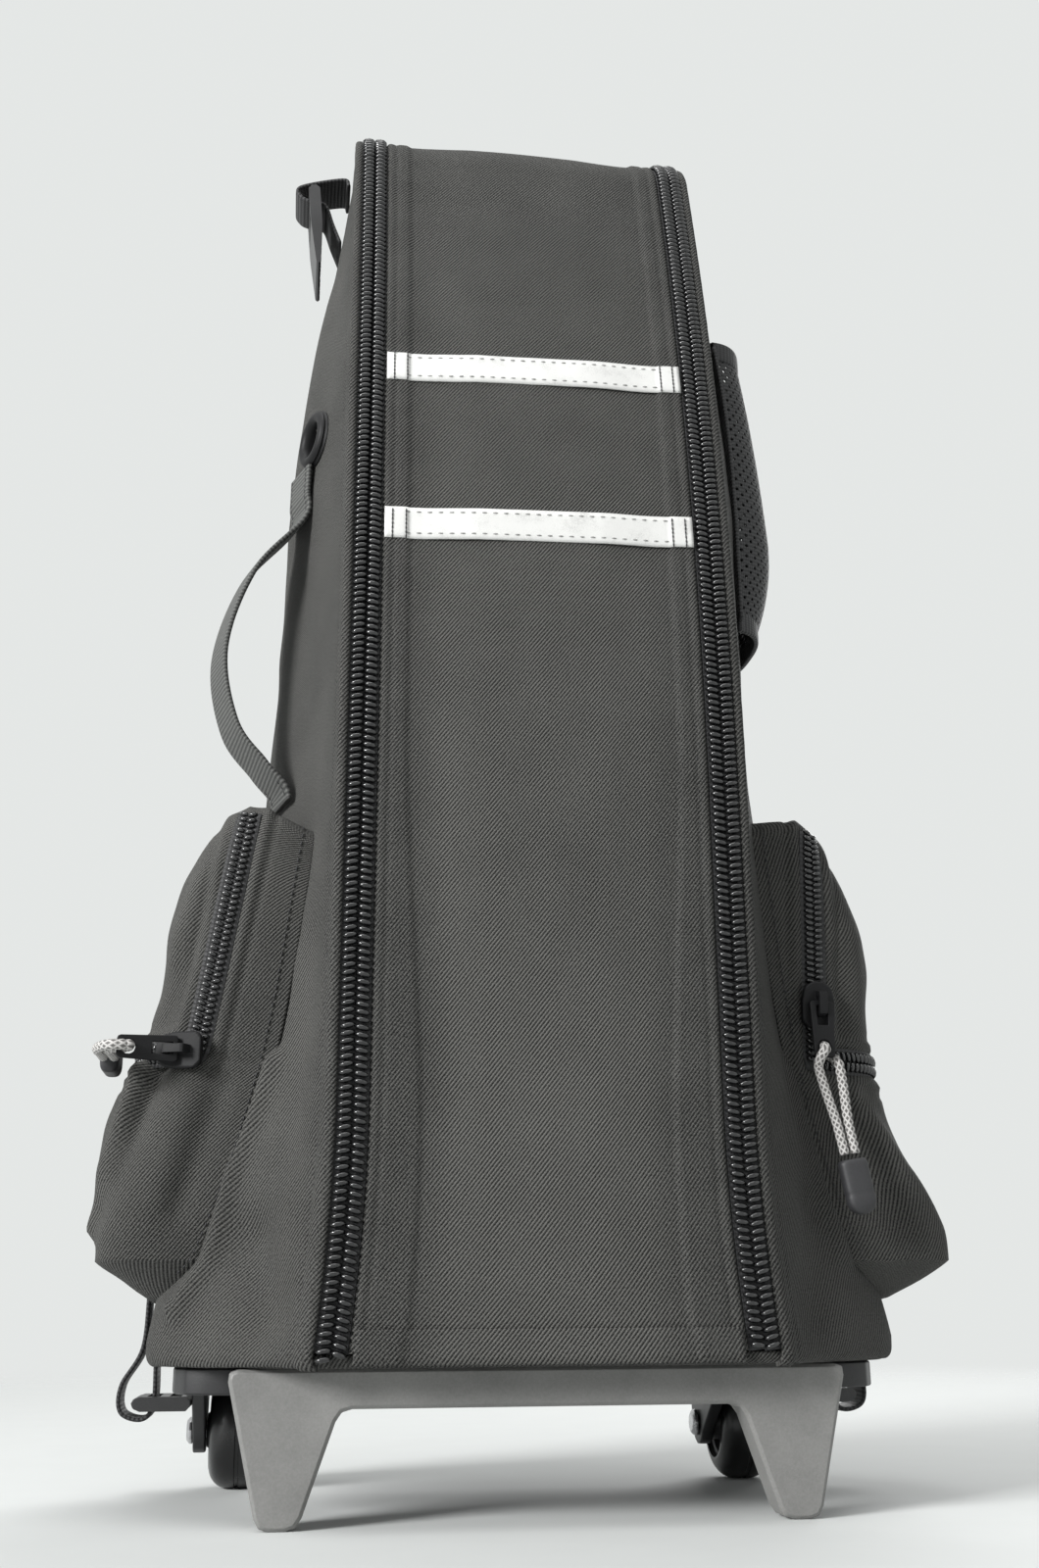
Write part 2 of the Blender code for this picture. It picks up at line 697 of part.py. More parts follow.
def pull_tab(name, frame, eye_at, material):
    """A plate whose end bar runs through the bail, with an eye for a cord where one is asked for."""
    bar = TAB_THICKNESS / 2
    plate = rounded([(-bar, -TAB_WIDTH / 2), (TAB_LENGTH, -TAB_WIDTH * 0.42),
                     (TAB_LENGTH, TAB_WIDTH * 0.42), (-bar, TAB_WIDTH / 2)], 0.0012, 2)
    tab = local_plate(plate, (-bar, bar))
    slot = BAIL_WIDTH / 2 + 2 * GAP
    tab = cut(tab, local_box((bar, BAIL_LENGTH * 0.62 + BAIL_WINDOW_LENGTH * 0.3), (-slot, slot), (-0.01, 0.01)))
    if eye_at:
        eye = PULL_CORD_DIAMETER / 2 + 3 * GAP
        tab = cut(tab, placed(turned([(0, 0.01), (eye, 0.01), (eye, -0.01), (0, -0.01)], SMALL_STEPS),
                              Vector((eye_at, 0, 0))))
    named(framed(tab, *frame), name, material, frame[0])


def strand(route, gap):
    """One side of a cord's loop: out of the eye, round the tab's end, then closing up along the route."""
    run = (route[1] - route[0]).normalized()
    aside = Vector((-run.y, run.x))
    points = [route[0] + run * TAB_THICKNESS * 0.75 + aside * gap * 0.9, route[1] + aside * gap]
    for index in range(2, len(route)):
        run = (route[min(index + 1, len(route) - 1)] - route[index - 1]).normalized()
        points.append(route[index] + Vector((-run.y, run.x)) * gap * CORD_CLOSE)
    return points


def pull_cord(name, frame, route, pivot, material):
    """A cord looped through the tab's eye, its two strands side by side along a route from there."""
    gap = PULL_CORD_DIAMETER / 2 + TAB_THICKNESS / 2 + 2 * GAP
    flat = list(reversed(strand(route, gap))) + [route[0]] + strand(route, -gap)
    path = spline([Vector((point.x, 0.0, point.y)) for point in flat], 2)
    named(framed(tube(path, PULL_CORD_DIAMETER), *frame), name, material, pivot)


def pull_tip(name, frame, route, pivot, material):
    origin, along, across, out = frame
    run = (route[-1] - route[-2]).normalized()
    start = origin + along * route[-1].x + out * route[-1].y
    ahead = along * run.x + out * run.y
    rings = []
    for share, grow in ((0.0, 0.84), (0.08, 1.0), (0.75, 1.0), (0.94, 0.86), (1.0, 0.62)):
        half_width = PULL_TIP_WIDTH / 2 * grow
        half_height = PULL_TIP_THICKNESS / 2 * (grow if share > 0.5 else 1.0)
        outline = rounded([(-half_width, -half_height), (half_width, -half_height),
                           (half_width, half_height), (-half_width, half_height)], 0.0022, 2)
        rings.append([Vector((2 * GAP + share * PULL_TIP_LENGTH, y, z)) for y, z in outline])
    named(framed(loft(rings), start, ahead, across, ahead.cross(across)), name, material, pivot)


# Side pockets

def pocket_reach(height):
    return between(height, ((POCKET_FOOT_RISE, POCKET_FOOT_REACH), (POCKET_SEAM_RISE - 0.015, POCKET_FOOT_REACH - 0.003),
                            (POCKET_SEAM_RISE, POCKET_SEAM_REACH), (POCKET_SEAM_RISE + 0.050, POCKET_SEAM_REACH - 0.0105),
                            (POCKET_TOP_RISE, POCKET_TOP_REACH)))


def pocket_front(height):
    share = (height - POCKET_FOOT_RISE) / (POCKET_TOP_RISE - POCKET_FOOT_RISE)
    return POCKET_FRONT_FOOT + (POCKET_FRONT_TOP - POCKET_FRONT_FOOT) * min(max(share, 0.0), 1.0)


def pocket_section(height, offset):
    """Reach from the root, middle depth and half depth of the pocket's section at a height."""
    front = pocket_front(height) - offset
    back = POCKET_BACK + offset
    return pocket_reach(height) - POCKET_ROOT + offset, (front + back) / 2, (back - front) / 2


def pocket_section_point(reach, middle, half, angle):
    c, s = math.cos(angle), math.sin(angle)
    x = POCKET_ROOT + reach * math.copysign(abs(c) ** (2 / POCKET_SQUARENESS), c)
    return x, middle + half * math.copysign(abs(s) ** (2 / POCKET_SQUARENESS), s)


def pocket_ring(side, height, z, offset):
    reach, middle, half = pocket_section(height, offset)
    points = []
    for step in range(POCKET_STEPS):
        x, depth = pocket_section_point(reach, middle, half, 2 * math.pi * step / POCKET_STEPS)
        points.append(at(side * x, depth, z))
    return points


def pocket_levels():
    """Heights of the pocket's full rings, from its rounded foot to its rounded top."""
    low, high = POCKET_FOOT_RISE + POCKET_ROUND, POCKET_TOP_RISE - POCKET_ROUND / 2
    return [low + (high - low) * step / POCKET_SPANS for step in range(POCKET_SPANS + 1)]


def pocket_hull(side, offset):
    rings = []
    for height, inset, lift in ((POCKET_FOOT_RISE, POCKET_ROUND, -1.0),
                                (POCKET_FOOT_RISE + POCKET_ROUND * 0.25, POCKET_ROUND * 0.35, -0.8),
                                (POCKET_FOOT_RISE + POCKET_ROUND, 0.0, 0.0)):
        rings.append(pocket_ring(side, height, rise(height) + lift * offset, offset - inset))
    for height in pocket_levels()[1:-1]:
        rings.append(pocket_ring(side, height, rise(height), offset))
    for height, inset, lift in ((POCKET_TOP_RISE - POCKET_ROUND / 2, 0.0, 0.0),
                                (POCKET_TOP_RISE - POCKET_ROUND / 7, POCKET_ROUND * 0.15, 0.8),
                                (POCKET_TOP_RISE, POCKET_ROUND / 2, 1.0)):
        rings.append(pocket_ring(side, height, rise(height) + lift * offset, offset - inset))
    return loft(rings)


def zip_foot_x(side):
    """The zip's corner lies further out on the left pocket than on the right one."""
    return POCKET_ZIP_FOOT_X if side < 0 else RIGHT_ZIP_FOOT_X


def pocket_zip_region(side, spread):
    """The pocket zip's track: down the front of the pocket, then round its outer side."""
    half = POCKET_ZIP_WIDTH / 2 + spread
    top = rise(POCKET_TOP_RISE - POCKET_ZIP_MARGIN) + spread
    seam = rise(POCKET_SEAM_RISE)
    outline = [(POCKET_ZIP_TOP_X - half, top), (POCKET_ZIP_TOP_X + half, top),
               (zip_foot_x(side) + half, seam + half), (POCKET_FOOT_REACH + FAR, seam + half),
               (POCKET_FOOT_REACH + FAR, seam - half), (zip_foot_x(side) - half, seam - half)]
    return prism([(side * x, z) for x, z in outline], "Y", -FAR, POCKET_ZIP_BACK + spread)


def side_pocket(name, side, material):
    pocket = cut(pocket_hull(side, 0.0), pocket_hull(side, -POCKET_WALL))
    pocket = cut(pocket, body_hull(GAP))
    named(cut(pocket, pocket_zip_region(side, GAP)), name, material)


def pocket_zip(name, side, material):
    chain = keep(pocket_hull(side, POCKET_ZIP_PROUD), pocket_zip_region(side, 0.0))
    named(cut(chain, pocket_hull(side, -POCKET_WALL)), name, material)


def pocket_surface(height, x, offset):
    """Depth of the pocket's front face at a height and a distance from the middle."""
    reach, middle, half = pocket_section(height, offset)
    share = max(0.0, 1.0 - ((x - POCKET_ROOT) / reach) ** POCKET_SQUARENESS)
    return middle - half * share ** (1 / POCKET_SQUARENESS)


def zip_axis_point(side, height):
    """A point on the upright part of the pocket's zip, on the outer face of its chain."""
    top = POCKET_TOP_RISE - POCKET_ZIP_MARGIN
    share = (height - POCKET_SEAM_RISE) / (top - POCKET_SEAM_RISE)
    x = zip_foot_x(side) + (POCKET_ZIP_TOP_X - zip_foot_x(side)) * share
    return at(side * x, pocket_surface(height, x, POCKET_ZIP_PROUD), rise(height))


def upright_slider_frame(side):
    """The slider just above the corner of the zip, with its X axis up the zip."""
    low = zip_axis_point(side, SLIDER_RISE)
    high = zip_axis_point(side, POCKET_TOP_RISE - POCKET_ZIP_MARGIN - 0.010)
    along = (high - low).normalized()
    x, half = side * low.x, SLIDER_WIDTH / 2
    slope = (pocket_surface(SLIDER_RISE, x + half, 0.0) - pocket_surface(SLIDER_RISE, x - half, 0.0)) / SLIDER_WIDTH
    out = Vector((side * slope, -1.0, 0.0))
    out = (out - along * out.dot(along)).normalized()
    return low + out * SLIDER_SEAT, along, out.cross(along), out


def level_slider_frame(side):
    """The slider on the level part of the zip, beside its corner, with its X axis outwards."""
    x = zip_foot_x(side) + POCKET_ZIP_WIDTH * 0.45
    lower_edge = POCKET_SEAM_RISE - SLIDER_WIDTH / 2
    near = at(side * x, pocket_surface(lower_edge, x, POCKET_ZIP_PROUD), rise(POCKET_SEAM_RISE))
    further = x + SLIDER_LENGTH / 2
    far = at(side * further, pocket_surface(lower_edge, further, POCKET_ZIP_PROUD), rise(POCKET_SEAM_RISE))
    along = (far - near).normalized()
    out = Vector((0.0, 0.0, 1.0)).cross(along) * -side
    out = out if out.y < 0 else -out
    return near + out * LEVEL_SLIDER_SEAT, along, out.cross(along), out


def round_the_edge(side, frame, start):
    """A cord's route from the eye over the pocket's outer edge, so that its tip lies beside the zip there."""
    origin, along, across, out = frame
    bail = bail_axis(frame)
    eye = bail + along * start.x + out * start.y
    rings = [(level, pocket_reach(level)) for level in pocket_levels()]
    beside = between(POCKET_SEAM_RISE - PULL_TIP_WIDTH / 2, rings) + POCKET_ZIP_PROUD
    x = max(beside + PULL_TIP_THICKNESS / 2 + PULL_EDGE_CLEARANCE, side * eye.x + PULL_EDGE_BEND)
    offs = [Vector((side * x, eye.y + step, eye.z)) - bail for step in PULL_EDGE_STEPS]
    return [start + Vector(PULL_FIRST_STEP), *[Vector((off.dot(along), off.dot(out))) for off in offs]]


def pull_set(name, frame, lean, yaw, fall, metal, cord, rubber):
    """Slider, tab, cord and tip; lean is how far the tab stands off, yaw the cord's turn at the eye, fall its route."""
    origin, along, across, out = frame
    slider_body(f"pocket_slider_{name}", frame, metal)
    direction = (along * math.cos(lean) + out * math.sin(lean)).normalized()
    eye = TAB_LENGTH - TAB_WIDTH * 0.42
    pull_tab(f"pull_tab_{name}", pull_frame(frame, direction), eye, metal)
    pivot = bail_axis(frame)
    start = Vector((math.cos(lean), math.sin(lean))) * eye
    turn = Matrix.Rotation(yaw, 3, out)
    hang = (pivot + along * start.x + out * start.y, turn @ along, turn @ across, out)
    route = [point - start for point in (start, *fall(start))]
    pull_cord(f"pull_cord_{name}", hang, route, pivot, cord)
    pull_tip(f"pull_tip_{name}", hang, route, pivot, rubber)


def pocket_set(side, name, cloth, coil, metal, cord, rubber):
    side_pocket(f"side_pocket_{name}", side, cloth)
    pocket_zip(f"pocket_zip_{name}", side, coil)
    if side < 0:
        frame = level_slider_frame(side)
        pull_set(name, frame, PULL_STAND, 0.0, lambda start: round_the_edge(side, frame, start), metal, cord, rubber)
    else:
        run = Vector((-math.cos(PULL_HANG), math.sin(PULL_HANG)))
        steps = [run * PULL_CORD_LENGTH * share for share in (0.18, 0.5, 1.0)]
        pull_set(name, upright_slider_frame(side), math.pi - PULL_HANG, PULL_YAW,
                 lambda start: [start + step for step in steps], metal, cord, rubber)


# Mesh pocket, side handle and grommet

def mesh_hull(offset):
    rings = []
    shares = (0.0, 0.05, 0.16, 0.34, 0.56, 0.78, 1.0)
    for share in shares:
        height = MESH_FOOT_RISE + (MESH_TOP_RISE - MESH_FOOT_RISE) * share
        swell = MESH_BULGE * (1 - (1 - min(share / 0.34, 1.0)) ** 2) * (1 - 0.45 * max(share - 0.34, 0.0))
        reach = body_half(height) + 0.003 + swell + offset - POCKET_ROOT
        middle = (MESH_FRONT + MESH_BACK) / 2
        half = (MESH_BACK - MESH_FRONT) / 2 + offset
        ring = []
        for step in range(TUBE_STEPS):
            angle = 2 * math.pi * step / TUBE_STEPS
            c, s = math.cos(angle), math.sin(angle)
            x = POCKET_ROOT + reach * math.copysign(abs(c) ** 0.7, c)
            ring.append(at(x, middle + half * math.copysign(abs(s) ** 0.7, s), rise(height)))
        rings.append(ring)
    if offset < 0:
        rings[0] = [point - Vector((0, 0, offset)) for point in rings[0]]
        rings[-1] = [point + Vector((0, 0, 2 * MESH_WALL)) for point in rings[-1]]
    return loft(rings)


def mesh_pocket(material):
    pocket = cut(mesh_hull(0.0), mesh_hull(-MESH_WALL))
    named(cut(pocket, body_hull(GAP)), "mesh_pocket", material)


def handle_route():
    """Webbing sewn to the left wall at both ends, standing off it between them."""
    lift = 5 * GAP + HANDLE_THICKNESS / 2
    points = []
    sideways = []
    shares = ((HANDLE_TOP_RISE, 0.0), (HANDLE_TOP_RISE - HANDLE_TAB * 0.5, 0.0), (HANDLE_TOP_RISE - HANDLE_TAB, 0.02),
              (HANDLE_TOP_RISE - HANDLE_TAB - 0.024, 0.70), (HANDLE_TOP_RISE - HANDLE_TAB - 0.055, 1.0),
              (HANDLE_FOOT_RISE + 0.038, 0.70), (HANDLE_FOOT_RISE + 0.022, 0.14), (HANDLE_FOOT_RISE + 0.012, 0.03),
              (HANDLE_FOOT_RISE, 0.0))
    for height, share in shares:
        point, out = wall_point(height, HANDLE_DEPTH, -1)
        points.append(point + out * lift + Vector((-1.0, 0.0, 0.0)) * HANDLE_STAND_OFF * share)
        sideways.append(out.cross(Vector((0.0, 0.0, 1.0))))
    return points, sideways


def side_handle(material):
    points, sideways = handle_route()
    band = ribbon(spline(points, 3), spline(sideways, 3), HANDLE_WIDTH, HANDLE_THICKNESS)
    named(band, "side_handle", material)


def tube_grommet(material):
    centre, out = wall_point(GROMMET_RISE, GROMMET_DEPTH, -1)
    bore, barrel, rim = GROMMET_BORE / 2, GROMMET_BARREL / 2, GROMMET_DIAMETER / 2
    seat = GROMMET_PACKING
    face = seat + GROMMET_FLANGE
    under = -SHELL_WALL - seat
    profile = [(bore, face * 0.6), (bore + 0.0008, face), (rim - 0.001, face), (rim, seat),
               (barrel, seat), (barrel, under), (rim, under), (rim, under - GROMMET_FLANGE),
               (bore, under - GROMMET_FLANGE)]
    named(placed(turned(profile, TUBE_STEPS, closed=True), centre, out), "tube_grommet", material)


# Cylinder and regulator

def cylinder_axis(z):
    return at(0.0, CYLINDER_DEPTH, z)


def gas_cylinder(material):
    outer, wall = CYLINDER_DIAMETER / 2, CYLINDER_WALL
    neck, bore = NECK_DIAMETER / 2, NECK_BORE / 2
    base = CYLINDER_Z
    shoulder = CYLINDER_TOP - NECK_LENGTH - CYLINDER_SHOULDER
    arcs = [math.pi / 2 * step / 3 for step in range(4)]
    dome = [(neck + (outer - neck) * math.cos(a), shoulder + CYLINDER_SHOULDER * math.sin(a)) for a in arcs]
    hollow = [(bore + (outer - wall - bore) * math.cos(a), shoulder + (CYLINDER_SHOULDER - wall) * math.sin(a))
              for a in reversed(arcs)]
    foot = 0.006
    profile = ([(0, base + 0.004), (outer * 0.62, base + 0.004), (outer * 0.72, base), (outer - foot * 0.6, base),
                (outer, base + foot)] + dome
               + [(neck, CYLINDER_TOP), (bore, CYLINDER_TOP)] + hollow
               + [(outer - wall, base + wall + 0.006), (0, base + wall + 0.004)])
    profile = [(radius, z - base) for radius, z in profile]
    named(placed(turned(profile, WHEEL_STEPS), cylinder_axis(base)), "gas_cylinder", material)


def valve_body(material):
    low = CYLINDER_TOP + GAP
    half_x, half_y = VALVE_WIDTH / 2, VALVE_THICKNESS / 2
    outline = rounded([(-half_x, CYLINDER_DEPTH - half_y), (half_x, CYLINDER_DEPTH - half_y),
                       (half_x, CYLINDER_DEPTH + half_y), (-half_x, CYLINDER_DEPTH + half_y)], 0.003)
    post = prism(outline, "Z", low, low + VALVE_HEIGHT)
    stem = rod(cylinder_axis(low - STEM_LENGTH), cylinder_axis(low + 0.004), NECK_BORE - 2 * GAP)
    spindle = rod(cylinder_axis(low + VALVE_HEIGHT - 0.002), cylinder_axis(low + VALVE_HEIGHT + TOGGLE_HEIGHT * 0.6),
                  SPINDLE_DIAMETER)
    named(join(post, stem, spindle), "valve_body", material)


def valve_pivot():
    return cylinder_axis(CYLINDER_TOP + GAP + VALVE_HEIGHT)


def valve_toggle(material):
    low = CYLINDER_TOP + 2 * GAP + VALVE_HEIGHT
    boss = rod(cylinder_axis(low), cylinder_axis(low + TOGGLE_HEIGHT), SPINDLE_DIAMETER * 2)
    lever = box((0.0, TOGGLE_LENGTH), (CYLINDER_DEPTH - 0.0035, CYLINDER_DEPTH + 0.0035), (low + 0.001, low + 0.0065))
    toggle = join(boss, softened(lever, 0.0015))
    pocket = rod(cylinder_axis(low - 0.002), cylinder_axis(low + TOGGLE_HEIGHT * 0.6 + GAP), SPINDLE_DIAMETER + 2 * GAP)
    named(cut(toggle, pocket), "valve_toggle", material, valve_pivot())


def regulator_axis(x):
    return at(x, CYLINDER_DEPTH, CYLINDER_TOP + VALVE_HEIGHT / 2)


def yoke_half():
    return VALVE_WIDTH / 2 + GAP + YOKE_WALL


def regulator(material):
    centre = CYLINDER_TOP + VALVE_HEIGHT / 2
    half_x, half_y = yoke_half(), VALVE_THICKNESS / 2 + GAP + YOKE_WALL * 0.8
    outline = rounded([(-half_x, CYLINDER_DEPTH - half_y), (half_x, CYLINDER_DEPTH - half_y),
                       (half_x, CYLINDER_DEPTH + half_y), (-half_x, CYLINDER_DEPTH + half_y)], 0.006)
    yoke = prism(outline, "Z", centre - YOKE_HEIGHT / 2, centre + YOKE_HEIGHT / 2)
    barrel = rod(regulator_axis(half_x - 0.004), regulator_axis(half_x + REGULATOR_LENGTH), REGULATOR_DIAMETER, TUBE_STEPS)
    shaft = rod(regulator_axis(half_x + REGULATOR_LENGTH - 0.002), regulator_axis(half_x + REGULATOR_LENGTH + 0.006), 0.006)
    gauge_x = half_x + REGULATOR_LENGTH * 0.35
    face = CYLINDER_DEPTH - REGULATOR_DIAMETER / 2
    gauge = rod(at(gauge_x, face - GAUGE_DEPTH, centre), at(gauge_x, face + 0.008, centre), GAUGE_DIAMETER, TUBE_STEPS)
    barb_x = half_x + REGULATOR_LENGTH * 0.3
    barb_low = centre - REGULATOR_DIAMETER / 2
    barb = rod(at(barb_x, CYLINDER_DEPTH - 0.004, barb_low - BARB_LENGTH), at(barb_x, CYLINDER_DEPTH - 0.004, barb_low + 0.006),
               BARB_DIAMETER)
    body = join(yoke, barrel, shaft, gauge, barb)
    slot_x, slot_y = VALVE_WIDTH / 2 + GAP, VALVE_THICKNESS / 2 + GAP
    body = cut(body, box((-slot_x, slot_x), (CYLINDER_DEPTH - slot_y, CYLINDER_DEPTH + slot_y),
                         (centre - YOKE_HEIGHT, centre + YOKE_HEIGHT)))
    body = cut(body, rod(regulator_axis(-half_x - 0.01), regulator_axis(-slot_x + 0.004), SCREW_DIAMETER + 2 * GAP))
    named(body, "regulator", material)


def flow_knob(material):
    start = yoke_half() + REGULATOR_LENGTH + GAP
    rim = KNOB_DIAMETER / 2
    knob = placed(turned([(0, KNOB_LENGTH), (rim - 0.002, KNOB_LENGTH), (rim - 0.0008, KNOB_LENGTH - 0.002), (rim, 0),
                          (0.003 + GAP, 0), (0.003 + GAP, 0.006 + GAP), (0, 0.006 + GAP)], RING_STEPS),
                  regulator_axis(start), Vector((1, 0, 0)))
    for index in range(KNOB_RIBS):
        angle = 2 * math.pi * index / KNOB_RIBS
        shift = Vector((0, math.cos(angle), math.sin(angle))) * (rim + 0.0006)
        knob = cut(knob, rod(regulator_axis(start + 0.003) + shift, regulator_axis(start + KNOB_LENGTH + 0.004) + shift,
                             0.0034, 5))
    named(knob, "flow_knob", material, regulator_axis(start))


def yoke_screw(material):
    inner = -VALVE_WIDTH / 2 - 2 * GAP
    outer = -yoke_half() - SCREW_LENGTH
    screw = rod(regulator_axis(outer), regulator_axis(inner), SCREW_DIAMETER)
    tee = rod(regulator_axis(outer + 0.004) - Vector((0, TEE_LENGTH / 2, 0)),
              regulator_axis(outer + 0.004) + Vector((0, TEE_LENGTH / 2, 0)), 0.006)
    named(join(screw, tee), "yoke_screw", material, regulator_axis(outer))


def inner_fittings(sheet_plastic, webbing):
    half = BOARD_WIDTH / 2
    top = CROWN_Z - CROWN_RADIUS - 0.030
    board = prism(rounded([(-half, CYLINDER_Z + 0.004), (half, CYLINDER_Z + 0.004), (half, top), (-half, top)], 0.012),
                  "Y", BOARD_BACK - BOARD_THICKNESS, BOARD_BACK)
    named(board, "back_board", sheet_plastic)
    inner = CYLINDER_DIAMETER / 2 + GAP
    band = [(inner, RING_STRAP_HEIGHT), (inner + RING_STRAP_THICKNESS, RING_STRAP_HEIGHT),
            (inner + RING_STRAP_THICKNESS, 0), (inner, 0)]
    named(placed(turned(band, WHEEL_STEPS, closed=True), cylinder_axis(rise(RING_STRAP_RISE))), "cylinder_strap", webbing)


# Base tray, stand and wheels

def base_tray(material):
    half = TRAY_WIDTH / 2
    front = STAND_DEPTH + STAND_THICKNESS + GAP
    back = TUBE_DEPTH + OUTER_TUBE / 2 + TRAY_BACK_MARGIN
    low = TRAY_TOP - TRAY_THICKNESS - TRAY_SKIRT

    def outline(inset):
        return rounded([(-half + inset, front + inset), (half - inset, front + inset),
                        (half - inset, back - inset), (-half + inset, back - inset)], TRAY_CORNER - inset, 4)

    tray = prism(outline(0.0), "Z", low, TRAY_TOP)
    tray = cut(tray, prism(outline(TRAY_SKIRT_WALL), "Z", low - 0.01, TRAY_TOP - TRAY_THICKNESS))
    wells = AXLE_DEPTH - WHEEL_DIAMETER / 2 - FORK_REACH - 2 * GAP
    tray = cut(tray, box((-half - 0.01, half + 0.01), (wells, back + 0.01), (low - 0.01, TRAY_TOP - TRAY_THICKNESS)))
    named(tray, "base_tray", material)


def kick_stand(material):
    top = TRAY_TOP
    bar = top - STAND_BAR
    foot_out, foot_in = STAND_FOOT_WIDTH / 2, STAND_FOOT_WIDTH / 2 - STAND_FOOT
    right = [(STAND_KNEE_WIDTH / 2, bar), (foot_in, 0.0), (foot_out, 0.0), (STAND_TOP_WIDTH / 2, top)]

    def outline(inset):
        shift = [(0.6 * inset, inset), (inset, inset), (-inset, inset), (-1.3 * inset, -inset)]
        moved = [(x + dx, z + dz) for (x, z), (dx, dz) in zip(right, shift)]
        left = [(-x, z) for x, z in reversed(moved)]
        return rounded(moved + left, STAND_ROUND - inset * 0.6, 2)

    back = STAND_DEPTH + STAND_THICKNESS
    stand = softened(prism(outline(0.0), "Y", STAND_DEPTH, back), 0.0012)
    hollow = prism(outline(STAND_WALL), "Y", STAND_DEPTH + STAND_WALL, back + 0.01)
    named(cut(stand, hollow), "kick_stand", material)


def axle_point(x):
    return at(x, AXLE_DEPTH, AXLE_Z)


def wheel_fork(name, side, material):
    centre = WHEEL_TRACK / 2
    inside = WHEEL_WIDTH / 2 + WHEEL_SIDE_CLEARANCE
    top = TRAY_TOP - TRAY_THICKNESS - GAP
    front = AXLE_DEPTH - WHEEL_DIAMETER / 2 - FORK_REACH
    bridge_low = top - FORK_BRIDGE
    tip = [(AXLE_DEPTH + CHEEK_TIP * math.cos(a), AXLE_Z + CHEEK_TIP * math.sin(a))
           for a in [math.radians(-160 + 160 * step / 6) for step in range(7)]]
    cheek = [(front, top), (front, bridge_low), *tip, (AXLE_DEPTH + CHEEK_TIP + 0.003, top)]
    outer = prism(cheek, "X", side * (centre + inside), side * (centre + inside + CHEEK_THICKNESS))
    inner = prism(cheek, "X", side * (centre - inside), side * (centre - inside - CHEEK_THICKNESS))
    bridge = box((side * (centre - inside - 0.001), side * (centre + inside + 0.001)),
                 (front, AXLE_DEPTH - WHEEL_DIAMETER / 2 - 2 * GAP), (bridge_low, top))
    fork = join(outer, inner, bridge)
    bore = rod(axle_point(side * (centre - 0.05)), axle_point(side * (centre + 0.05)), AXLE_DIAMETER + 2 * GAP)
    named(cut(fork, bore), name, material)


def axle_rivet(name, side, material):
    centre = WHEEL_TRACK / 2
    reach = WHEEL_WIDTH / 2 + WHEEL_SIDE_CLEARANCE + CHEEK_THICKNESS + GAP
    full = 2 * (reach + AXLE_HEAD_HEIGHT)
    radius, head = AXLE_DIAMETER / 2, AXLE_HEAD / 2
    ends = [(0, full), (head * 0.7, full), (head, full - AXLE_HEAD_HEIGHT * 0.5), (head, full - AXLE_HEAD_HEIGHT),
            (radius, full - AXLE_HEAD_HEIGHT)]
    profile = ends + [(r, full - z) for r, z in reversed(ends)]
    start = axle_point(side * centre - full / 2)
    named(placed(turned(profile, SMALL_STEPS), start, Vector((1, 0, 0))), name, material, axle_point(side * centre))


def wheel(name, side, rubber, plastic):
    centre = axle_point(side * WHEEL_TRACK / 2)
    along = Vector((1, 0, 0))
    outer, inner = WHEEL_DIAMETER / 2, HUB_DIAMETER / 2 + GAP
    half = WHEEL_WIDTH / 2
    flat = half - WHEEL_CROWN
    arcs = [math.pi / 2 * step / 3 for step in range(4)]
    crown = [(outer - WHEEL_CROWN * (1 - math.sin(a)), flat + WHEEL_CROWN * math.cos(a)) for a in arcs]
    profile = [(inner, half)] + crown
    profile += [(r, -z) for r, z in reversed(profile)]
    tyre = placed(turned(profile, WHEEL_STEPS, closed=True), centre, along)
    named(tyre, f"wheel_tyre_{name}", rubber, centre)
    bore = AXLE_DIAMETER / 2 + GAP
    reach = half + WHEEL_SIDE_CLEARANCE - GAP
    boss, rim, web = HUB_BOSS / 2, HUB_DIAMETER / 2, HUB_WEB / 2
    dish = rim - 0.0022
    upper = [(bore, reach), (boss, reach), (boss + 0.0008, web), (dish - 0.0008, web), (dish, half - 0.002),
             (rim, half - 0.002)]
    hub = placed(turned(upper + [(r, -z) for r, z in reversed(upper)], RING_STEPS, closed=True), centre, along)
    ring = (boss + dish) / 2
    size = (dish - boss) * 0.62
    for index in range(HUB_HOLES):
        angle = 2 * math.pi * index / HUB_HOLES
        shift = Vector((0, math.cos(angle), math.sin(angle))) * ring
        hub = cut(hub, rod(centre + shift - along * 0.01, centre + shift + along * 0.01, size, 6))
    named(hub, f"wheel_hub_{name}", plastic, centre)


# Telescopic handle and back padding

def tube_axis(side, z):
    return at(side * TUBE_SPACING / 2, TUBE_DEPTH, z)


def pipe(name, side, diameter, low, high, material, pivot=None):
    outer, inner = diameter / 2, diameter / 2 - TUBE_WALL
    length = high - low
    profile = [(inner, length), (outer, length), (outer, 0), (inner, 0)]
    item = placed(turned(profile, TUBE_STEPS, closed=True), tube_axis(side, low))
    named(item, name, material, pivot)


def grip_pivot():
    return at(0.0, TUBE_DEPTH, COLLAR_TOP)


def inner_tube_top():
    return COLLAR_TOP + GAP + GRIP_GAP + GRIP_BAR * 0.5


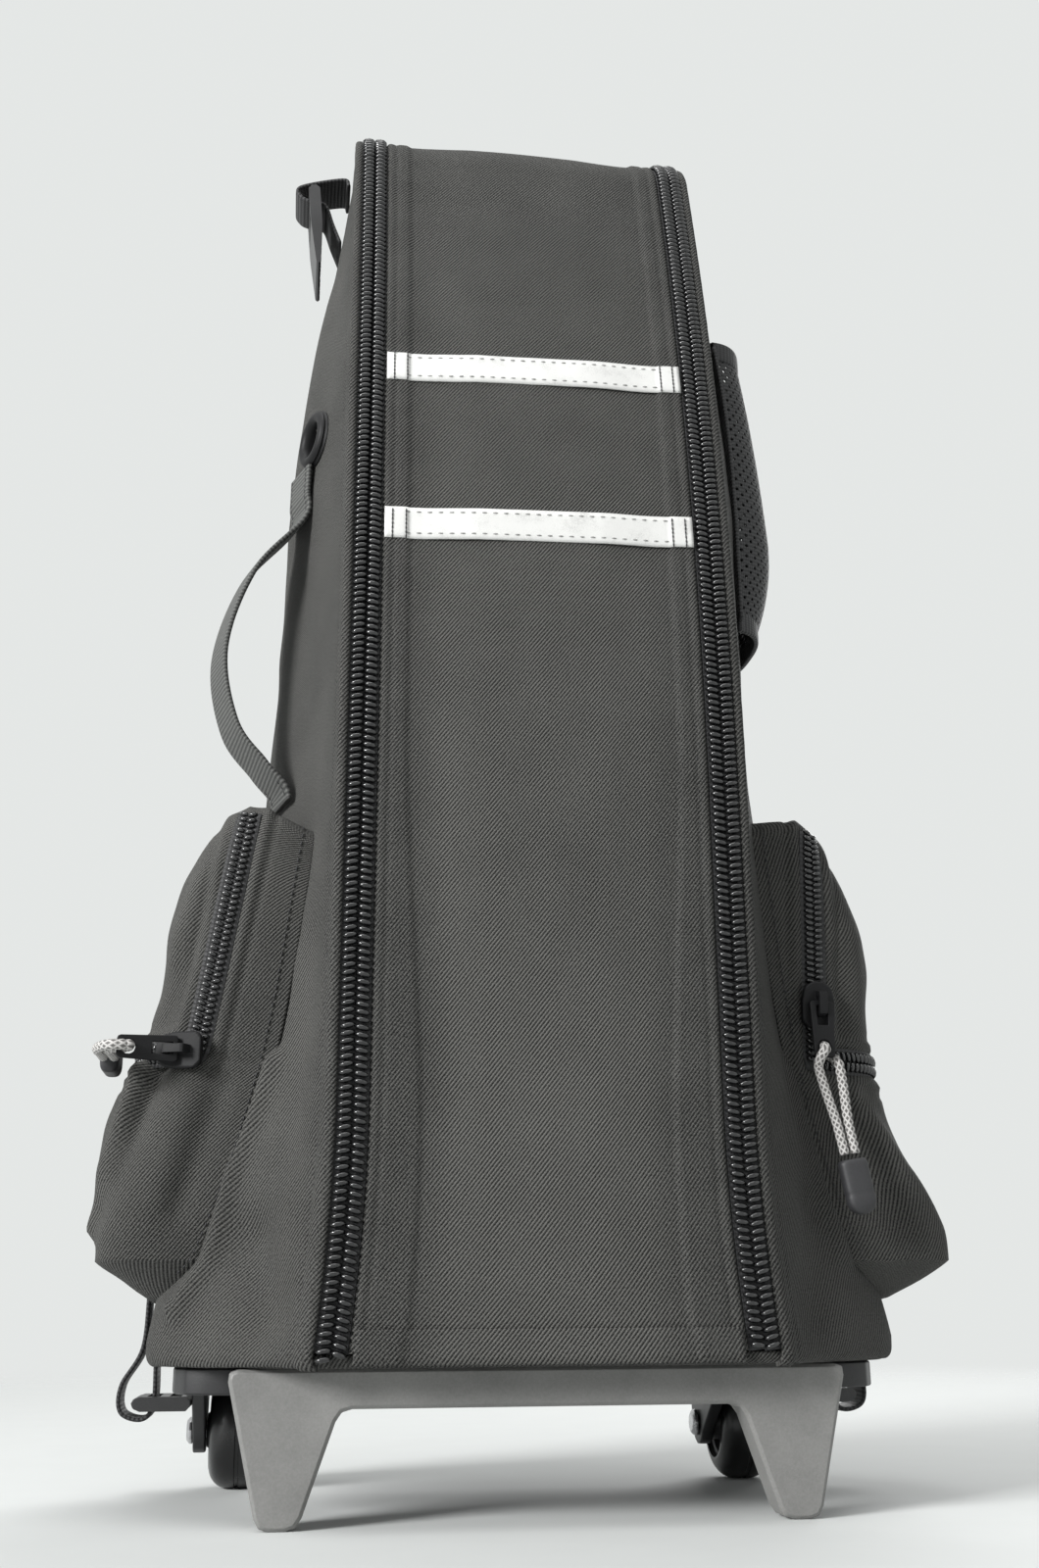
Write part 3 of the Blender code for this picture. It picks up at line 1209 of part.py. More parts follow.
def telescopic_handle(aluminium, plastic):
    for side, name in ((-1, "left"), (1, "right")):
        pipe(f"outer_tube_{name}", side, OUTER_TUBE, TRAY_TOP + GAP, TUBE_TOP, aluminium)
        pipe(f"inner_tube_{name}", side, INNER_TUBE, TRAY_TOP + INNER_TUBE_RISE, inner_tube_top(), aluminium, grip_pivot())
    half, deep = COLLAR_WIDTH / 2, OUTER_TUBE / 2
    outline = rounded([(-half, TUBE_DEPTH - deep), (half, TUBE_DEPTH - deep), (half, TUBE_DEPTH + deep + 0.001),
                       (-half, TUBE_DEPTH + deep + 0.001)], 0.006, 2)
    collar = softened(prism(outline, "Z", TUBE_TOP + GAP, COLLAR_TOP), 0.0015)
    grip_half, grip_deep = GRIP_WIDTH / 2, GRIP_THICKNESS / 2
    bar_low = COLLAR_TOP + GAP + GRIP_GAP
    window = GRIP_WIDTH / 2 - GRIP_LEG
    grip = prism(rounded([(-grip_half, COLLAR_TOP + GAP), (-window, COLLAR_TOP + GAP), (-window, bar_low),
                          (window, bar_low), (window, COLLAR_TOP + GAP), (grip_half, COLLAR_TOP + GAP),
                          (grip_half * 0.94, GRIP_TOP), (-grip_half * 0.94, GRIP_TOP)], 0.007, 2),
                 "Y", TUBE_DEPTH - grip_deep, TUBE_DEPTH + grip_deep)
    grip = softened(grip, 0.003)
    for side in (-1, 1):
        bore = INNER_TUBE + 2 * GAP
        collar = cut(collar, rod(tube_axis(side, TUBE_TOP - 0.01), tube_axis(side, COLLAR_TOP + 0.01), bore, TUBE_STEPS))
        grip = cut(grip, rod(tube_axis(side, COLLAR_TOP - 0.01), tube_axis(side, inner_tube_top() + GAP), bore, TUBE_STEPS))
    well_x, well_y = BUTTON_LENGTH / 2 + GAP, BUTTON_WIDTH / 2 + GAP
    grip = cut(grip, box((-well_x, well_x), (TUBE_DEPTH - well_y, TUBE_DEPTH + well_y),
                         (GRIP_TOP - BUTTON_SUNK - BUTTON_TRAVEL - GAP, GRIP_TOP + 0.01)))
    named(collar, "tube_collar", plastic)
    named(grip, "handle_grip", plastic, grip_pivot())
    half_x, half_y = BUTTON_LENGTH / 2, BUTTON_WIDTH / 2
    button = prism(rounded([(-half_x, TUBE_DEPTH - half_y), (half_x, TUBE_DEPTH - half_y),
                            (half_x, TUBE_DEPTH + half_y), (-half_x, TUBE_DEPTH + half_y)], 0.0012),
                   "Z", GRIP_TOP - BUTTON_SUNK, GRIP_TOP + BUTTON_PROUD)
    named(softened(button, 0.0008), "grip_button", plastic, at(0.0, TUBE_DEPTH, GRIP_TOP))


def back_pad(material):
    low, high = rise(PAD_FOOT_RISE), CROWN_Z - PAD_TOP_DROP
    foot, top = PAD_FOOT_WIDTH / 2, PAD_TOP_WIDTH / 2
    outline = rounded([(-foot, low), (foot, low), (top, high), (-top, high)], PAD_ROUND, 5)
    pad = softened(prism(outline, "Y", BAG_DEPTH + GAP, PAD_BACK), 0.003)
    room = OUTER_TUBE / 2 + GAP
    for side in (-1, 1):
        pad = cut(pad, rod(tube_axis(side, low - 0.02), tube_axis(side, high + 0.02), 2 * room, TUBE_STEPS))
        middle = side * TUBE_SPACING / 2
        pad = cut(pad, box((middle - room, middle + room), (BAG_DEPTH - 0.01, TUBE_DEPTH), (low - 0.02, high + 0.02)))
    named(pad, "back_pad", material)


# Shoulder straps and ladder locks

def ladder_lock(name, frame, tab, material):
    """A two-slot buckle, X along it from its fixed bar, Y across it, with a lifting tab at its far end."""
    half = LOCK_WIDTH / 2
    frame_length = 3 * LOCK_BAR + 2 * LOCK_SLOT
    thick = LOCK_THICKNESS / 2
    profile = [(0.0, -thick), (frame_length, -thick), (frame_length + tab, -thick * 0.2), (frame_length + tab, thick * 0.5),
               (frame_length, thick), (0.0, thick)]
    profile = rounded(profile, 0.0016, 1)
    lock = loft([[Vector((x, y, z)) for x, z in profile] for y in (-half, half)])
    room = WEBBING_WIDTH / 2 + 0.001
    for start in (LOCK_BAR, 2 * LOCK_BAR + LOCK_SLOT):
        lock = cut(lock, local_box((start, start + LOCK_SLOT), (-room, room), (-0.02, 0.02)))
    named(framed(lock, *frame), name, material)


def first_slot():
    return LOCK_BAR + LOCK_SLOT / 2


def second_slot():
    return 2 * LOCK_BAR + 1.5 * LOCK_SLOT


def upper_lock(name, side, depth, stand_off, lean, plastic, webbing):
    """The lock hangs beside the crown from webbing sewn to the side wall."""
    wall, out = wall_point(BAG_HEIGHT - UPPER_LOCK_DROP, depth, side)
    outward = Vector((side, 0.0, 0.0))
    top = wall + outward * stand_off
    along = Vector((-side * lean, 0.0, -1.0)).normalized()
    across = Vector((0.0, 1.0, 0.0))
    face = Vector((side, 0.0, -lean)).normalized()
    ladder_lock(f"upper_lock_{name}", (top, along, face.cross(along), face), UPPER_LOCK_TAB, plastic)
    root, root_out = wall_point(BAG_HEIGHT - UPPER_ROOT_DROP, depth, side)
    tail, tail_out = wall_point(BAG_HEIGHT - UPPER_TAIL_DROP, depth, side)
    lift = 2 * GAP + WEBBING_THICKNESS / 2
    slot = top + along * first_slot()
    bight = LOCK_THICKNESS / 2 + 0.0022
    slack = (stand_off - bight) * LOCK_TAIL_SLACK
    up = Vector((0.0, 0.0, 1.0))
    route = [root + outward * lift, root + outward * (lift + 0.0030) + up * 0.0030,
             slot + face * (bight + 0.0010) - along * 0.0085, slot + face * (bight + 0.0010) - along * 0.0030, slot,
             slot - face * bight + along * 0.0016, tail + outward * (lift + slack) + up * 0.0090,
             tail + outward * lift]
    path = spline(route, 3)
    named(ribbon(path, [across] * len(path), WEBBING_WIDTH, WEBBING_THICKNESS), f"upper_webbing_{name}", webbing)


def lower_lock_frame(side):
    start = WHEEL_TRACK / 2 + WHEEL_WIDTH / 2 + WHEEL_SIDE_CLEARANCE + CHEEK_THICKNESS + GAP
    along = Vector((side, 0.0, 0.0))
    face = Vector((0.0, 0.0, 1.0))
    return at(side * start, LOWER_LOCK_DEPTH, LOWER_LOCK_Z), along, face.cross(along), face


def shoulder_strap(name, side, material):
    """A padded strap on the back pad; its webbing runs down to the lower lock and its tail loops back up."""
    top = at(side * STRAP_TOP_X, STRAP_DEPTH, CROWN_Z - STRAP_TOP_DROP)
    foot = at(side * STRAP_FOOT_X, STRAP_DEPTH, rise(STRAP_FOOT_RISE))
    middle = (top + foot) / 2 + Vector((side * 0.004, 0.0, 0.0))
    path = spline([top, middle, foot], 3)
    sideways = Vector((1.0, 0.0, 0.0))
    pad = softened(ribbon(path, [sideways] * len(path), STRAP_WIDTH, STRAP_THICKNESS), 0.0022)
    origin, along, across, face = lower_lock_frame(side)
    slot = origin + along * second_slot()
    bight = LOCK_THICKNESS / 2 + 0.0030
    loop = slot + along * 0.0120
    clear = at(side * (PAD_FOOT_WIDTH / 2 + 0.014), STRAP_DEPTH - 0.001, rise(STRAP_FOOT_RISE) - 0.066)
    route = [foot + Vector((0.0, 0.0, 0.010)), foot - Vector((-side * 0.006, 0.0, 0.014)), clear,
             slot + Vector((-side * 0.0040, 0.006, 0.088)), slot + face * 0.042, slot + face * 0.016, slot,
             slot - face * bight + along * 0.0040, loop - face * 0.0030, loop + face * 0.0065 + along * 0.0004,
             slot + face * 0.020 + along * 0.0052, slot + face * 0.042 + along * 0.0040]
    path = spline(route, 3)
    deep = Vector((0.0, 1.0, 0.0))
    flat, turn = 6, 6
    shares = [min(max(index - flat, 0) / turn, 1.0) for index in range(len(path))]
    widths = [sideways.lerp(deep * -side, share) for share in shares]
    webbing = ribbon(path, widths, WEBBING_WIDTH, WEBBING_THICKNESS)
    named(join(pad, webbing), f"shoulder_strap_{name}", material)


def lower_lock(name, side, plastic):
    ladder_lock(f"lower_lock_{name}", lower_lock_frame(side), LOWER_LOCK_TAB, plastic)


def main_slider(name, side, metal):
    """A slider on the level part of the main zip at the back of the crown."""
    depth = FLAP_END + ZIP_BAND / 2
    along = Vector((side, 0.0, 0.0))
    out = Vector((0.0, 0.0, 1.0))
    frame = (at(side * MAIN_SLIDER_SPACING / 2, depth, CROWN_Z + ZIP_PROUD + GAP), along, out.cross(along), out)
    slider_body(f"main_slider_{name}", frame, metal)
    hang = pull_frame(frame, (along + out * 0.06).normalized())
    pull_tab(f"main_pull_{name}", hang, 0.0, metal)


def build():
    clear_scene()
    cloth = finish("twill_cloth", (0.035, 0.035, 0.037), 0.85)
    webbing = finish("webbing", (0.018, 0.018, 0.019), 0.75)
    coil = finish("zip_coil", (0.012, 0.012, 0.013), 0.30)
    tape = finish("reflective_tape", (0.72, 0.73, 0.74), 0.35)
    netting = finish("netting", (0.020, 0.020, 0.021), 0.80)
    grey = finish("moulded_grey", (0.105, 0.105, 0.110), 0.55)
    black = finish("moulded_black", (0.025, 0.025, 0.026), 0.45)
    rubber = finish("rubber", (0.015, 0.015, 0.016), 0.40)
    cord = finish("pull_cord", (0.30, 0.30, 0.31), 0.80)
    dark_metal = finish("dark_metal", (0.040, 0.040, 0.042), 0.30, 0.9)
    steel = finish("bright_steel", (0.62, 0.62, 0.63), 0.25, 1.0)
    aluminium = finish("aluminium", (0.66, 0.67, 0.68), 0.35, 1.0)
    brass = finish("chromed_brass", (0.60, 0.58, 0.54), 0.25, 1.0)

    base_tray(black)
    kick_stand(grey)
    bag_shell(cloth)
    front_flap(cloth)
    zip_half("main_zip_flap", GAP, coil, hinge_pivot())
    zip_half("main_zip_body", 2 * GAP + ZIP_HALF, coil)
    reflective_tape("reflective_tape_upper", UPPER_TAPE_RISE, tape)
    reflective_tape("reflective_tape_lower", LOWER_TAPE_RISE, tape)
    mesh_pocket(netting)
    side_handle(webbing)
    tube_grommet(dark_metal)
    telescopic_handle(aluminium, black)
    back_pad(cloth)
    gas_cylinder(aluminium)
    valve_body(brass)
    valve_toggle(black)
    regulator(aluminium)
    flow_knob(black)
    yoke_screw(steel)
    inner_fittings(black, webbing)
    for side, name in ((-1, "left"), (1, "right")):
        wheel_fork(f"wheel_fork_{name}", side, black)
        axle_rivet(f"axle_rivet_{name}", side, steel)
        wheel(name, side, rubber, black)
        pocket_set(side, name, cloth, coil, dark_metal, cord, rubber)
        main_slider(name, side, dark_metal)
        if side < 0:
            upper_lock(name, side, UPPER_LOCK_DEPTH, UPPER_LOCK_STAND_OFF, UPPER_LOCK_LEAN, black, webbing)
        else:
            upper_lock(name, side, FLAT_LOCK_DEPTH, FLAT_LOCK_STAND_OFF, FLAT_LOCK_LEAN, black, webbing)
        lower_lock(name, side, black)
        shoulder_strap(name, side, webbing)


build()
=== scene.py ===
import json
import math

import bmesh
import bpy
from mathutils import Matrix, Vector, noise


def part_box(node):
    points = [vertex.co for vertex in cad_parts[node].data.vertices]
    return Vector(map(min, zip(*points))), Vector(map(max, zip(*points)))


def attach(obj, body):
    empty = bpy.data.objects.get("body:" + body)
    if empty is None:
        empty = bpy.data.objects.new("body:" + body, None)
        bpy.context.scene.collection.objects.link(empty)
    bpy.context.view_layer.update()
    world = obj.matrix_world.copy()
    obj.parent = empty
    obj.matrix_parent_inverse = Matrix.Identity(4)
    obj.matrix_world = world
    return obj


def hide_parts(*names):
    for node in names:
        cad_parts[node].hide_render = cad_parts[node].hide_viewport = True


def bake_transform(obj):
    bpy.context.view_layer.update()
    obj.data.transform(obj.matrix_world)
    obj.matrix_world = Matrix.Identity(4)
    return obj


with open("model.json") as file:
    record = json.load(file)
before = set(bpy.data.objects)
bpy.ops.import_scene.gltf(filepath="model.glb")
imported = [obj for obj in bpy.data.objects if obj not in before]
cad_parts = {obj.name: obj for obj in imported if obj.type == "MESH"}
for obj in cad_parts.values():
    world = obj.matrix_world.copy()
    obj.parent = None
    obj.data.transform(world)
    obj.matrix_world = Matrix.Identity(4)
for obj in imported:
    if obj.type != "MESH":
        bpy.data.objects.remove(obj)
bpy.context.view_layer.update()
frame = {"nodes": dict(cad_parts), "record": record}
print("frame loaded with", len(frame["nodes"]), "nodes")

up = Vector((0, 0, 1))
right = Vector((1, 0, 0))
deepward = Vector((0, 1, 0))
bothSides = ((-1, "left"), (1, "right"))


# shader helpers
def freshMaterial(name, rough, metal=0.0, sheen=0.0, coat=0.0, shine=0.5):
    mat = bpy.data.materials.new(name)
    mat.use_nodes = True
    shader = mat.node_tree.nodes["Principled BSDF"]
    settings = {"Roughness": rough, "Metallic": metal, "Specular IOR Level": shine, "Sheen Weight": sheen,
                "Sheen Roughness": 0.4, "Coat Weight": coat, "Coat Roughness": 0.2}
    for key, value in settings.items():
        shader.inputs[key].default_value = value
    return mat, mat.node_tree, shader


def put(tree, kind, values=None, **props):
    made = tree.nodes.new(kind)
    for key, value in props.items():
        setattr(made, key, value)
    for key, value in (values or {}).items():
        made.inputs[key].default_value = value
    return made


def ramp(tree, factor, low, high):
    # a colour band read at factor; low and high are (place, colour)
    made = tree.nodes.new("ShaderNodeValToRGB")
    for element, (place, colour) in zip(made.color_ramp.elements, (low, high)):
        element.position = place
        element.color = (*colour, 1)
    tree.links.new(factor, made.inputs["Fac"])
    return made.outputs["Color"]


def tint(tree, shader, factor, low, high):
    tree.links.new(ramp(tree, factor, low, high), shader.inputs["Base Color"])


def flatCoords(tree):
    return put(tree, "ShaderNodeUVMap", uv_map="cloth").outputs["UV"]


def objectCoords(tree):
    return put(tree, "ShaderNodeTexCoord").outputs["Object"]


def mathNode(tree, operation, first, second):
    made = put(tree, "ShaderNodeMath", operation=operation)
    for index, value in enumerate((first, second)):
        if isinstance(value, (int, float)):
            made.inputs[index].default_value = value
        else:
            tree.links.new(value, made.inputs[index])
    return made.outputs[0]


def weighted(tree, parts):
    # the sum of (socket, weight) pairs
    total = None
    for socket, weight in parts:
        share = mathNode(tree, "MULTIPLY", socket, weight)
        total = share if total is None else mathNode(tree, "ADD", total, share)
    return total


def mixColour(tree, share, first, second):
    made = put(tree, "ShaderNodeMix", data_type="RGBA")
    tree.links.new(share, made.inputs["Factor"])
    for socket, value in ((made.inputs[6], first), (made.inputs[7], second)):
        if isinstance(value, tuple):
            socket.default_value = (*value, 1)
        else:
            tree.links.new(value, socket)
    return made.outputs[2]


def addBump(tree, shader, height, strength, distance):
    bump = put(tree, "ShaderNodeBump", {"Strength": strength, "Distance": distance})
    tree.links.new(height, bump.inputs["Height"])
    tree.links.new(bump.outputs["Normal"], shader.inputs["Normal"])


def mapped(tree, coords, **values):
    mapping = put(tree, "ShaderNodeMapping", values)
    tree.links.new(coords, mapping.inputs["Vector"])
    return mapping.outputs["Vector"]


def wave(tree, coords, pitch, direction="X", turn=0.0, distortion=0.0):
    made = put(tree, "ShaderNodeTexWave", {"Scale": math.tau / (20 * pitch), "Distortion": distortion,
                                           "Detail": 1.0, "Detail Scale": 2.0},
               wave_type="BANDS", bands_direction=direction)
    tree.links.new(mapped(tree, coords, Rotation=(0, 0, turn)), made.inputs["Vector"])
    return made.outputs["Fac"]


def speckle(tree, coords, scale, detail=3.0, rough=0.6):
    made = put(tree, "ShaderNodeTexNoise", {"Scale": scale, "Detail": detail, "Roughness": rough})
    tree.links.new(coords, made.inputs["Vector"])
    return made.outputs["Fac"]


# twill: raised diagonal wales, crossing yarns, heathered thread and a pale bloom mixed in by a per-point
# attribute, partly dust where the cloth rubs and partly painted light; where the attribute stays low, along
# seams, zips and band edges, the darker cloth is painted shade
twill = {"wale": 0.00112, "yarn": 0.00062, "slant": math.radians(38), "fibre": 1500.0, "blotch": 34.0,
         "weights": (0.29, 0.08, 0.74, 0.16), "rub": 0.75, "stops": (0.45, 0.80),
         "dark": (0.0040, 0.0041, 0.0042), "light": (0.106, 0.1053, 0.0996), "dustAndLight": (0.196, 0.193, 0.181)}


def twillMaterial(name, lift=1.0):
    mat, tree, shader = freshMaterial(name, 0.8, sheen=0.03, shine=0.2)
    coords = flatCoords(tree)
    wales = wave(tree, coords, twill["wale"], turn=twill["slant"])
    yarns = wave(tree, coords, twill["yarn"], turn=twill["slant"] - math.pi / 2, distortion=0.6)
    fibre = speckle(tree, coords, twill["fibre"], 2.0)
    blotch = speckle(tree, coords, twill["blotch"], 6.0)
    cloth = weighted(tree, zip((wales, yarns, fibre, blotch), twill["weights"]))
    dark, light = (tuple(c * lift for c in twill[key]) for key in ("dark", "light"))
    colours = ramp(tree, cloth, (twill["stops"][0], dark), (twill["stops"][1], light))
    # the per-point attribute: rubbed dust together with painted light and shade
    wearShading = put(tree, "ShaderNodeAttribute", attribute_name="wearAndShading").outputs["Fac"]
    share = mathNode(tree, "MULTIPLY", wearShading, mathNode(tree, "MULTIPLY", wales, twill["rub"]))
    tree.links.new(mixColour(tree, share, colours, twill["dustAndLight"]), shader.inputs["Base Color"])
    addBump(tree, shader, mathNode(tree, "ADD", wales, mathNode(tree, "MULTIPLY", yarns, 0.5)), 0.8, 0.00028)
    return mat


# lining: plain weave, a little mottled
def liningMaterial(name, pitch=0.0012):
    mat, tree, shader = freshMaterial(name, 0.6, sheen=0.05)
    coords = flatCoords(tree)
    weave = mathNode(tree, "MULTIPLY", wave(tree, coords, pitch), wave(tree, coords, pitch, "Y"))
    mottle = mathNode(tree, "ADD", weave, mathNode(tree, "MULTIPLY", speckle(tree, coords, 30.0), 0.3))
    tint(tree, shader, mottle, (0.0, (0.035, 0.036, 0.038)), (1.0, (0.075, 0.077, 0.08)))
    addBump(tree, shader, weave, 0.4, 0.0002)
    return mat


# webbing: cross ribs over fine lengthwise yarns
def webbingMaterial(name, dark, light):
    mat, tree, shader = freshMaterial(name, 0.62, sheen=0.1)
    coords = flatCoords(tree)
    ribs = wave(tree, coords, 0.0017, "Y", distortion=0.4)
    warp = wave(tree, coords, 0.0011, "X")
    pattern = weighted(tree, ((ribs, 0.7), (warp, 0.3)))
    heather = mathNode(tree, "ADD", speckle(tree, coords, 900.0), 0.5)
    tint(tree, shader, mathNode(tree, "MULTIPLY", pattern, heather), (0.15, dark), (1.0, light))
    addBump(tree, shader, pattern, 0.7, 0.0003)
    return mat


# moulded, cast and turned finishes share one recipe: colour drift, a fine grain and a rougher patch or two
def mouldedMaterial(name, dark, light, rough, metal=0.0, grain=900.0, bump=0.0001, coat=0.0, shine=0.5):
    mat, tree, shader = freshMaterial(name, rough, metal, coat=coat, shine=shine)
    coords = objectCoords(tree)
    drift = speckle(tree, coords, 24.0, 4.0)
    fine = speckle(tree, coords, grain, 2.0)
    tint(tree, shader, weighted(tree, ((drift, 0.7), (fine, 0.3))), (0.3, dark), (0.75, light))
    patches = ramp(tree, drift, (0.25, (rough * 0.85,) * 3), (0.8, (min(rough * 1.2, 1.0),) * 3))
    tree.links.new(patches, shader.inputs["Roughness"])
    addBump(tree, shader, fine, 0.35, bump)
    return mat


# brushed metal: long fine lines along Z on a turned part
def brushedMaterial(name, dark, light, rough):
    mat, tree, shader = freshMaterial(name, rough, 1.0)
    lines = speckle(tree, mapped(tree, objectCoords(tree), Scale=(1, 1, 0.02)), 1400.0, 2.0)
    tint(tree, shader, lines, (0.3, dark), (0.7, light))
    addBump(tree, shader, lines, 0.2, 0.00005)
    return mat


# silver tape: tiny glass beads on a grey ground, handled a little grubby
def tapeMaterial(name):
    mat, tree, shader = freshMaterial(name, 0.42, 0.12)
    coords = flatCoords(tree)
    glass = put(tree, "ShaderNodeTexVoronoi", {"Scale": 2400.0})
    tree.links.new(coords, glass.inputs["Vector"])
    shade = mathNode(tree, "ADD", mathNode(tree, "MULTIPLY", glass.outputs["Distance"], 0.3),
                     speckle(tree, coords, 90.0, 5.0))
    tint(tree, shader, shade, (0.25, (0.52, 0.52, 0.505)), (0.62, (0.82, 0.82, 0.80)))
    addBump(tree, shader, glass.outputs["Distance"], 0.3, 0.0001)
    return mat


# braided pull cord: two grey yarns crossing
def cordMaterial(name):
    mat, tree, shader = freshMaterial(name, 0.75, sheen=0.1)
    coords = flatCoords(tree)
    one, two = (wave(tree, coords, 0.0016, turn=math.radians(t)) for t in (38, -38))
    crossing = mathNode(tree, "MAXIMUM", one, two)
    tint(tree, shader, crossing, (0.45, (0.13, 0.125, 0.12)), (0.95, (0.60, 0.585, 0.57)))
    addBump(tree, shader, crossing, 0.6, 0.0003)
    return mat


# gas cylinder: brushed body with a painted shoulder, which starts at the given height
def paintedMaterial(name, height):
    mat, tree, shader = freshMaterial(name, 0.34)
    coords = objectCoords(tree)
    place = put(tree, "ShaderNodeSeparateXYZ")
    tree.links.new(coords, place.inputs[0])
    ragged = mathNode(tree, "MULTIPLY", speckle(tree, coords, 160.0), 0.0012)
    shoulder = mathNode(tree, "GREATER_THAN", mathNode(tree, "ADD", place.outputs["Z"], ragged), height)
    brushed = speckle(tree, mapped(tree, coords, Scale=(1, 1, 0.03)), 900.0, 2.0)
    metal = ramp(tree, brushed, (0.3, (0.46, 0.47, 0.48)), (0.7, (0.62, 0.63, 0.64)))
    paint = ramp(tree, speckle(tree, coords, 70.0), (0.3, (0.012, 0.10, 0.045)), (0.7, (0.018, 0.135, 0.062)))
    tree.links.new(mixColour(tree, shoulder, metal, paint), shader.inputs["Base Color"])
    tree.links.new(mathNode(tree, "SUBTRACT", 1.0, shoulder), shader.inputs["Metallic"])
    addBump(tree, shader, brushed, 0.15, 0.00005)
    return mat


twillCloth = twillMaterial("twillCloth")
flapCloth = twillMaterial("flapCloth", 1.08)
lining = liningMaterial("liningCloth")
blackWebbing = webbingMaterial("blackWebbing", (0.006, 0.006, 0.007), (0.05, 0.05, 0.052))
greyWebbing = webbingMaterial("greyWebbing", (0.02, 0.021, 0.02), (0.13, 0.132, 0.125))
zipTape = webbingMaterial("zipTape", (0.004, 0.004, 0.0045), (0.03, 0.03, 0.032))
thread = mouldedMaterial("sewingThread", (0.008, 0.008, 0.009), (0.03, 0.03, 0.032), 0.6, grain=3000.0)
greyThread = mouldedMaterial("greyThread", (0.30, 0.30, 0.29), (0.46, 0.46, 0.45), 0.6, grain=3000.0)
coil = mouldedMaterial("zipCoil", (0.004, 0.004, 0.0045), (0.012, 0.012, 0.013), 0.16, grain=1800.0, coat=0.6)
silverTape = tapeMaterial("silverTape")
standGrey = mouldedMaterial("standGrey", (0.17, 0.169, 0.164), (0.30, 0.297, 0.288), 0.5, grain=1300.0,
                            bump=0.00012)
mouldedBlack = mouldedMaterial("mouldedBlack", (0.010, 0.010, 0.011), (0.028, 0.028, 0.03), 0.42,
                               grain=1500.0)
wheelRubber = mouldedMaterial("wheelRubber", (0.008, 0.008, 0.008), (0.022, 0.022, 0.023), 0.28, grain=700.0)
tipRubber = mouldedMaterial("tipRubber", (0.018, 0.018, 0.02), (0.045, 0.045, 0.048), 0.55, grain=1600.0)
darkMetal = mouldedMaterial("darkMetal", (0.005, 0.005, 0.0055), (0.014, 0.014, 0.015), 0.52, grain=1500.0,
                            shine=0.22)
buckleGrey = mouldedMaterial("buckleGrey", (0.018, 0.018, 0.019), (0.050, 0.050, 0.051), 0.38, grain=1500.0)
brightSteel = mouldedMaterial("brightSteel", (0.45, 0.45, 0.46), (0.62, 0.62, 0.63), 0.27, 1.0)
aluminium = brushedMaterial("aluminium", (0.52, 0.53, 0.54), (0.70, 0.71, 0.72), 0.34)
chromedBrass = mouldedMaterial("chromedBrass", (0.52, 0.50, 0.46), (0.66, 0.63, 0.58), 0.2, 1.0)
cordYarn = cordMaterial("braidedCord")
cylinderPaint = paintedMaterial("cylinderPaint", 0.412)
print("finishes mixed")


# small sums that many pieces share
def clamp(value, low=0.0, high=1.0):
    return min(max(value, low), high)


def hump(value, centre, width):
    # a soft rise, 1 in its middle
    return math.exp(-((value - centre) / width) ** 2)


def signedPower(value, power):
    return math.copysign(abs(value) ** power, value)


def ripple(point, scale, amount, seed=0.0):
    return noise.noise(point * scale + Vector((seed, 2 * seed, 3 * seed))) * amount


def hollowAlong(point, crease):
    # distance falloff from a crease's line; a crease is its points, its height and its width
    line, depth, width = crease
    best = 9.0
    for a, b in zip(line, line[1:]):
        span = b - a
        t = clamp((point - a).dot(span) / span.length_squared)
        best = min(best, (point - a - span * t).length)
    return depth * hump(best, 0.0, width)


def runLengths(points):
    run = [0.0]
    for a, b in zip(points, points[1:]):
        run.append(run[-1] + (b - a).length)
    return run


def headings(path):
    last = len(path) - 1
    return [(path[min(k + 1, last)] - path[max(k - 1, 0)]).normalized() for k in range(last + 1)]


def smoothPath(points, spans):
    ends = [2 * points[0] - points[1], *points, 2 * points[-1] - points[-2]]
    path = []
    for before, start, stop, after in zip(ends, ends[1:], ends[2:], ends[3:]):
        for step in range(spans):
            t = step / spans
            path.append(0.5 * (2 * start + (stop - before) * t
                               + (2 * before - 5 * start + 4 * stop - after) * t ** 2
                               + (3 * start - before - 3 * stop + after) * t ** 3))
    return path + [points[-1]]


def marksAlong(points, outs, pitch):
    # (place, heading, outward) at an even pitch along a polyline; outward is the nearest point's
    marks = []
    carry, k = 0.0, 0
    for a, b in zip(points, points[1:]):
        length = (b - a).length
        while carry < length:
            place = a.lerp(b, carry / length)
            while k + 1 < len(points) and (points[k + 1] - place).length < (points[k] - place).length:
                k += 1
            marks.append((place, (b - a).normalized(), outs[k]))
            carry += pitch
        carry -= length
    return marks


# mesh helpers
proudRubAndLight = 450.0  # paleness for each metre that a point stands proud, where a piece gives none of its own: partly rub and partly painted light; sunk places keep the darker cloth as painted shade


def publish(bm, name, mats, body, slot, nodes=(), angle=None):
    mesh = bpy.data.meshes.new(name)
    bm.to_mesh(mesh)
    bm.free()
    for mat in mats:
        mesh.materials.append(mat)
    mesh.shade_smooth()
    if angle:
        mesh.set_sharp_from_angle(angle=math.radians(angle))
    obj = bpy.data.objects.new(name, mesh)
    bpy.context.scene.collection.objects.link(obj)
    if body:
        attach(obj, body)
    if nodes:
        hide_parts(*nodes)
    return obj


def thicken(obj, thickness, offset=-1.0, inner=0):
    mod = obj.modifiers.new("wall", "SOLIDIFY")
    mod.thickness = thickness
    mod.offset = offset
    mod.material_offset = inner
    return obj


